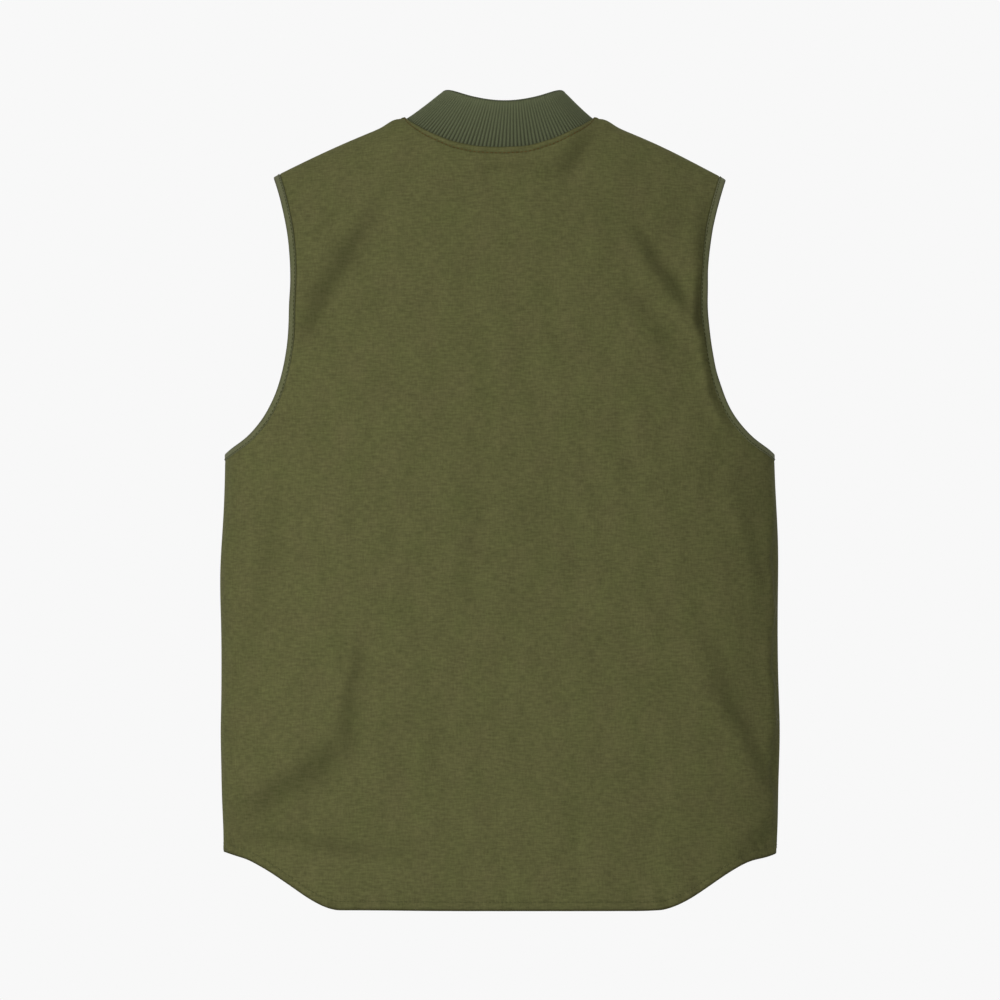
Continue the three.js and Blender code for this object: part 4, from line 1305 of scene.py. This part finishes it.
def collar_wall(sizes):
    """Sections of the knit wall before it is ribbed, tucked in at the neck seam and folded over at the rim.

    With them come their places on the knit and the values that the ribs and the finish read.
    """
    share = np.linspace(0, 1, sizes.rib_count * RIB_STEPS + 1)
    foot = neck_line(sizes)
    length = run_length(foot)
    base = sample(foot, length, share * length[-1])
    rim = rim_points((2 * share - 1) * RIM_END)
    reach = np.linalg.norm(rim - base, axis=1)
    up = unit(rim - base)
    around = np.gradient(base, axis=0) + np.gradient(rim, axis=0)
    normal = unit(np.cross(unit(around), up))
    for _ in range(COLLAR_SMOOTHING):
        normal[1:-1] = unit(normal[:-2] + 2 * normal[1:-1] + normal[2:])
    half = sizes.rib_wall / 2
    levels = np.array(COLLAR_LEVELS)
    heights = -COLLAR_TUCK + levels[:, None] * (reach - half + COLLAR_TUCK)
    climb = np.clip(heights / reach, 0, 1)
    middle = base + up * heights[..., None] - normal * (COLLAR_SAG * (1 - climb**2))[..., None]
    angle = np.linspace(0, math.pi, 9)[1:-1]
    top = middle[-1] + half * (np.cos(angle)[:, None, None] * normal + np.sin(angle)[:, None, None] * up)
    rows = np.concatenate([middle + normal * half, top, middle[::-1] - normal * half])
    rise = np.concatenate([heights, heights[-1] + half * angle[:, None], heights[::-1]])

    def over_rim(values, at_rim):
        return np.concatenate([values, np.full(len(angle), at_rim), values[::-1]])

    strength = RIB_STRENGTH["foot"] + (RIB_STRENGTH["rim"] - RIB_STRENGTH["foot"]) * levels
    strength *= 1 - RIB_STRENGTH["loss"] * smooth(levels, *RIB_STRENGTH["loss_levels"])
    strength = over_rim(strength, strength[-1])
    # Painted shade, darker towards the foot and darkest along the rim
    shade = COLLAR_SHADE["foot"] * (1 - smooth(levels, 0, COLLAR_SHADE["end"]))
    shade = over_rim(shade + COLLAR_SHADE["rim"] * (levels == 1), COLLAR_SHADE["rim"])
    values = {
        "share": np.repeat(share, len(rows)),
        "rib_lift": normal[:, None] * strength[None, :, None],
        "rib_strength": np.tile(strength, len(share)),
        "crease": np.tile(shade, len(share)),
    }
    return rows.swapaxes(0, 1), pairs(share[:, None] * sizes.rib_count, rise.T), values


class CANVASVEST_OT_collar(bpy.types.Operator):
    """Makes the stand collar of rib knit"""

    bl_idname = "canvas_vest.collar"
    bl_label = "Collar"

    def execute(self, context):
        sizes, colours, _ = settings(context)
        sections, knit, values = collar_wall(sizes)
        faces = tube_faces(*sections.shape[:2], False, True)
        rib = make_material("olive rib", colours)
        piece = mesh_piece("rib_collar", hang(sections), faces, rib, knit, values)
        inputs = {
            "Rib Count": sizes.rib_count,
            "Rib Depth": sizes.rib_depth,
            "Furrow Sharpness": FURROW_SHARPNESS,
            "Material": rib,
        }
        nodes_to_mesh(piece, node_group("Rib Wall"), inputs)
        dress(piece, "rib_knit", "collar")
        return {"FINISHED"}


# Front zip


def zip_line(sizes):
    """Centre front from the hem to the collar's rim, with its normals and how far behind it the tape lies."""
    half = half_panel(FRONT, 1)
    flat = np.array([0, 1, 1])
    point, normal = (half[key][:, 0] * flat for key in ("points", "normals"))
    neck, rim = point[-1], rim_points(np.array(RIM_END)) * flat
    climb = neck + (rim - neck) * np.linspace(0, 1, ZIP_RIM_STEPS)[1:, None]
    way = unit(rim - neck)
    climb_normal = np.broadcast_to([0, way[2], -way[1]], climb.shape)
    behind = np.full((len(point), 1), sizes.canvas_thickness + ZIP_CLEARANCE)
    climb_behind = np.full((len(climb), 1), sizes.rib_wall / 2 + sizes.rib_depth / 2 + ZIP_CLEARANCE)
    bundle = np.concatenate([
        np.concatenate([point, normal, behind], axis=1),
        np.concatenate([climb, climb_normal, climb_behind], axis=1),
    ])
    length = run_length(bundle[:, :3])
    even = sample(bundle, length, np.linspace(0, length[-1], round(length[-1] / ZIP_STEP)))
    for _ in range(ZIP_SMOOTHING):
        even[1:-1] = (even[:-2] + 2 * even[1:-1] + even[2:]) / 4
    return even[:, :3], unit(even[:, 3:6]), even[:, 6]


def zip_tape(point, normal, behind, sizes, material):
    """The tape behind the zip's line."""
    across, rise = np.array(ZIP_TAPE_SECTION).T
    loop_x = np.concatenate([across, across[::-1]]) * sizes.zip_tape_width / 2
    loop_n = np.concatenate([rise, -1 - rise[::-1]]) * sizes.tape_thickness
    sections = point[:, None] + normal[:, None] * (loop_n - behind[:, None])[..., None]
    sections[..., 0] += loop_x
    faces = tube_faces(*sections.shape[:2], False, True)
    cloth = pairs(loop_x, run_length(point)[:, None])
    values = {"crease": np.zeros(sections.shape[:2])}
    return mesh_piece("zip_tape", hang(sections), faces, material, cloth, values)


def plate_faces(plate):
    """Corners and faces of a bevelled plate, symmetrical from side to side.

    The bevel's order and last digits change from run to run, so a fine grid and a sort fix them.
    """
    shape = bmesh.new()
    half = [(x, share * plate.height) for x, share in plate.outline]
    corners = [*half, *[(-x, z) for x, z in reversed(half)]]
    face = shape.faces.new([shape.verts.new((x, -plate.depth / 2, z)) for x, z in corners])
    grown = bmesh.ops.extrude_face_region(shape, geom=[face])["geom"]
    moved = [item for item in grown if isinstance(item, bmesh.types.BMVert)]
    bmesh.ops.translate(shape, verts=moved, vec=(0, plate.depth, 0))
    bevel = {"offset": plate.depth * PLATE_BEVEL, "segments": 3, "profile": 0.5, "affect": "EDGES"}
    bmesh.ops.bevel(shape, geom=[*shape.verts, *shape.edges], **bevel)
    bmesh.ops.recalc_face_normals(shape, faces=shape.faces)
    shape.verts.index_update()
    places = np.rint(np.array([vertex.co for vertex in shape.verts]) / PLATE_GRID).astype(int)
    order = np.lexsort(places.T)
    rank = np.argsort(order).tolist()
    faces = []
    for face in shape.faces:
        loop = [rank[vertex.index] for vertex in face.verts]
        start = loop.index(min(loop))
        faces.append(loop[start:] + loop[:start])
    shape.free()
    return places[order] * PLATE_GRID, sorted(faces)


def zip_slider(top, way, material):
    """The slider with its pull, below the top of the zip."""
    right = np.array([1, 0, 0])
    up = np.cross(right, way)
    points, faces = [], []
    for plate in SLIDER_PLATES:
        corners, loops = plate_faces(plate)
        faces += [[len(points) + corner for corner in loop] for loop in loops]
        centre = top - up * plate.below + way * plate.proud
        points.extend(centre + corners @ np.array([right, way, up]))
    return mesh_piece("zip_slider", np.array(points), faces, material)


class CANVASVEST_OT_zip(bpy.types.Operator):
    """Makes the closed front zip: its tape, teeth, slider and pull"""

    bl_idname = "canvas_vest.zip"
    bl_label = "Front Zip"

    def execute(self, context):
        sizes, colours, _ = settings(context)
        point, normal, behind = zip_line(sizes)
        tape = zip_tape(point, normal, behind, sizes, make_material("zip cloth", colours))
        dress(tape, "zip", "front_zip")
        moulding = make_material("zip moulding", colours)
        path = point + normal * (TOOTH_PROUD - sizes.tooth_rise / 2)
        teeth = path_object("zip_teeth", [path[1:-2]], moulding)
        values = {
            "Tooth Pitch": sizes.tooth_pitch,
            "Tooth Width": TOOTH_WIDTH,
            "Tooth Rise": sizes.tooth_rise,
            "Tooth Length": sizes.tooth_pitch * TOOTH_SHARE,
            "Stagger": TOOTH_STAGGER,
            "Material": moulding,
        }
        dress(nodes_to_mesh(teeth, node_group("Zip Teeth"), values), "zip")
        dress(zip_slider(point[-1], normal[-1], moulding), "zip")
        return {"FINISHED"}


# Stage


def add_object(scene, name, data, place, rotation):
    """A light or a camera in its place."""
    item = bpy.data.objects.new(name, data)
    item.location = place
    item.rotation_euler = rotation
    scene.collection.objects.link(item)
    return item


def pale_world(colour, ambient):
    """A pale surround that shows brighter than it lights."""
    world = bpy.data.worlds.new("surround")
    world.use_nodes = True
    tree = world.node_tree
    shown = tree.nodes["Background"]
    shown.inputs["Color"].default_value = colour
    lit = made(tree, "ShaderNodeBackground", {"Color": colour, "Strength": ambient})
    seen = made(tree, "ShaderNodeLightPath")
    mixed = made(tree, "ShaderNodeMixShader", {0: seen, 1: lit, 2: shown.outputs[0]})
    connect(tree, tree.nodes["World Output"].inputs, {"Surface": mixed})
    return world


class CANVASVEST_OT_stage(bpy.types.Operator):
    """Makes the floor, the soft light and the camera"""

    bl_idname = "canvas_vest.stage"
    bl_label = "Stage"

    def execute(self, context):
        _, colours, stage = settings(context)
        scene = context.scene
        angle = np.linspace(0, 2 * math.pi, FLOOR_SIDES, endpoint=False)
        ring = pairs(np.cos(angle), np.sin(angle)) * stage.floor_radius
        points = np.concatenate([ring, np.full((FLOOR_SIDES, 1), -stage.floor_drop)], axis=1)
        pale = make_material("pale floor", colours)
        mesh_piece("floor", points, [list(range(FLOOR_SIDES))], pale)
        aim = Vector((0, 0, stage.view_height))
        for name in LAMPS:
            lamp = bpy.data.lights.new(name, "AREA")
            lamp.shape = "DISK"
            lamp.size = stage.light_size
            lamp.energy = getattr(stage, f"{name}_power")
            place = Vector(getattr(stage, f"{name}_place"))
            add_object(scene, name, lamp, place, (aim - place).to_track_quat("-Z", "Y").to_euler())
        scene.world = pale_world((*colours.backdrop, 1.0), stage.ambient)
        lens = bpy.data.cameras.new("camera")
        lens.lens = lens.sensor_width * stage.camera_distance / stage.view_width
        place = (stage.view_across, -stage.camera_distance, stage.view_height)
        scene.camera = add_object(scene, "camera", lens, place, (math.pi / 2, 0, 0))
        scene.view_settings.view_transform = "Standard"
        return {"FINISHED"}


# Settings


def metres(name, description, default):
    """A size in metres."""
    return bpy.props.FloatProperty(
        name=name, description=description, default=default, precision=5, unit="LENGTH"
    )


def watts(name, description, default):
    """The power of a light."""
    return bpy.props.FloatProperty(name=name, description=description, default=default, min=0, unit="POWER")


def spot(name, description, *default):
    """A place in the frame."""
    return bpy.props.FloatVectorProperty(
        name=name, description=description, default=default, size=3, subtype="TRANSLATION", unit="LENGTH"
    )


def screen_colour(name, description, *channels):
    """A colour, given as screen values from 0 to 255."""
    shares = [channel / 255 for channel in channels]
    linear = [share / 12.92 if share <= 0.04045 else ((share + 0.055) / 1.055) ** 2.4 for share in shares]
    return bpy.props.FloatVectorProperty(
        name=name, description=description, default=linear, size=3, min=0, max=1, subtype="COLOR"
    )


def setting_group(kind, name, description):
    """A group of settings."""
    return bpy.props.PointerProperty(type=kind, name=name, description=description)


class CanvasVestSizes(bpy.types.PropertyGroup):
    """Sizes of the cloth, the knit, the tape, the thread and the zip."""

    canvas_thickness: metres("Canvas", "Thickness of the canvas wall", 0.0018)
    hem_depth: metres("Hem", "Distance of the hem's stitching from its edge", 0.0080)
    hem_turn: metres("Hem turn-up", "Thickness that the turned-up hem adds inside", 0.0010)
    neck_band: metres("Neck band", "Distance of the neck's stitching from the collar seam", 0.0060)
    zip_margin: metres("Zip margin", "Distance of the stitching from the zip's edge", 0.0070)
    binding_width: metres("Binding", "Width of the armhole tape on each side", 0.0048)
    tape_thickness: metres("Tape", "Thickness of the armhole and zip tapes", 0.0009)
    stitch_length: metres("Stitch", "Length of a stitch", 0.0026)
    stitch_gap: metres("Stitch gap", "Gap between stitches", 0.0012)
    thread_width: metres("Thread", "Width of the sewing thread", 0.0010)
    rib_count: bpy.props.IntProperty(name="Ribs", description="Ribs round the collar", default=146, min=8)
    rib_depth: metres("Rib depth", "Height of the ribs from ridge to furrow", 0.0011)
    rib_wall: metres("Rib wall", "Thickness of the folded rib knit", 0.0026)
    zip_tape_width: metres("Zip tape", "Width of the zip with its tape", 0.0280)
    tooth_pitch: metres("Tooth pitch", "Distance between teeth on one side", 0.0027)
    tooth_rise: metres("Tooth rise", "Thickness of the zip's teeth", 0.0024)


class CanvasVestColours(bpy.types.PropertyGroup):
    """Colours of the finishes and the stage."""

    canvas: screen_colour("Canvas", "Colour of the canvas", 92, 92, 58)
    rib: screen_colour("Rib knit", "Colour of the collar", 90, 96, 68)
    tape: screen_colour("Binding", "Colour of the armhole tape", 97, 99, 69)
    neck_thread: screen_colour("Neck thread", "Colour of the stitches at the back of the neck", 88, 72, 37)
    armhole_thread: screen_colour("Armhole thread", "Colour of the stitches at the armholes", 58, 60, 26)
    olive_thread: screen_colour("Olive thread", "Colour of the stitches at the hems and the zip", 87, 88, 54)
    zip_tape: screen_colour("Zip tape", "Colour of the zip's tape", 70, 71, 46)
    zip_teeth: screen_colour("Zip teeth", "Colour of the zip's teeth and slider", 58, 59, 44)
    floor: screen_colour("Floor", "Colour of the floor", 232, 232, 232)
    backdrop: screen_colour("Backdrop", "Colour of the surround", 248, 248, 248)


class CanvasVestStage(bpy.types.PropertyGroup):
    """Floor, light and camera."""

    floor_drop: metres("Floor drop", "Distance of the floor below the neck", 1.05)
    floor_radius: metres("Floor radius", "Radius of the floor", 6.0)
    camera_distance: metres("Camera distance", "Distance of the camera from the vest", 20.0)
    view_width: metres("View width", "Width of the view at the vest", 0.90)
    view_across: metres("View centre across", "Centre of the view, across", 0.0003)
    view_height: metres("View centre height", "Centre of the view, upwards", -0.3434)
    light_size: metres("Light size", "Diameter of each soft light", 1.4)
    key_place: spot("Key light", "Place of the main light", -1.75, -1.75, 0.10)
    key_power: watts("Key power", "Power of the main light", 25.0)
    fill_place: spot("Fill light", "Place of the second light", 0.4, -4.0, -0.4)
    fill_power: watts("Fill power", "Power of the second light", 38.5)
    left_place: spot("Left light", "Place of the light on the left front", -2.0, 2.8, 0.4)
    left_power: watts("Left power", "Power of the left light", 44.0)
    right_place: spot("Right light", "Place of the light on the right front", 1.2, 3.3, 0.4)
    right_power: watts("Right power", "Power of the right light", 38.0)
    top_place: spot("Top light", "Place of the light above", 0.4, 0.35, 2.3)
    top_power: watts("Top power", "Power of the light above", 28.0)
    ambient: bpy.props.FloatProperty(
        name="Ambient", description="Light of the surround", default=0.35, min=0, max=1, subtype="FACTOR"
    )


class CanvasVestSettings(bpy.types.PropertyGroup):
    """All that a user would change."""

    sizes: setting_group(CanvasVestSizes, "Sizes", "Sizes of the vest")
    colours: setting_group(CanvasVestColours, "Colours", "Colours of the vest")
    stage: setting_group(CanvasVestStage, "Stage", "Floor, light and camera")


PIECE_OPERATORS = (
    CANVASVEST_OT_stage,
    CANVASVEST_OT_back,
    CANVASVEST_OT_fronts,
    CANVASVEST_OT_bindings,
    CANVASVEST_OT_collar,
    CANVASVEST_OT_zip,
)


class CANVASVEST_PT_sidebar(bpy.types.Panel):
    """Lists the vest's settings and the operators that make its pieces"""

    bl_label = "Canvas Vest"
    bl_idname = "CANVASVEST_PT_sidebar"
    bl_space_type = "VIEW_3D"
    bl_region_type = "UI"
    bl_category = "Canvas Vest"

    def draw(self, context):
        layout = self.layout
        for group in settings(context):
            box = layout.box()
            for key in group.__annotations__:
                box.prop(group, key)
        for operator in PIECE_OPERATORS:
            layout.operator(operator.bl_idname)


CLASSES = (
    CanvasVestSizes,
    CanvasVestColours,
    CanvasVestStage,
    CanvasVestSettings,
    *PIECE_OPERATORS,
    CANVASVEST_PT_sidebar,
)


def register():
    for item in CLASSES:
        bpy.utils.register_class(item)
    bpy.types.Scene.canvas_vest = bpy.props.PointerProperty(type=CanvasVestSettings)


def unregister():
    del bpy.types.Scene.canvas_vest
    for item in reversed(CLASSES):
        bpy.utils.unregister_class(item)


def main():
    register()
    for operator in PIECE_OPERATORS:
        group, name = operator.bl_idname.split(".")
        getattr(getattr(bpy.ops, group), name)()


if __name__ == "__main__":
    main()
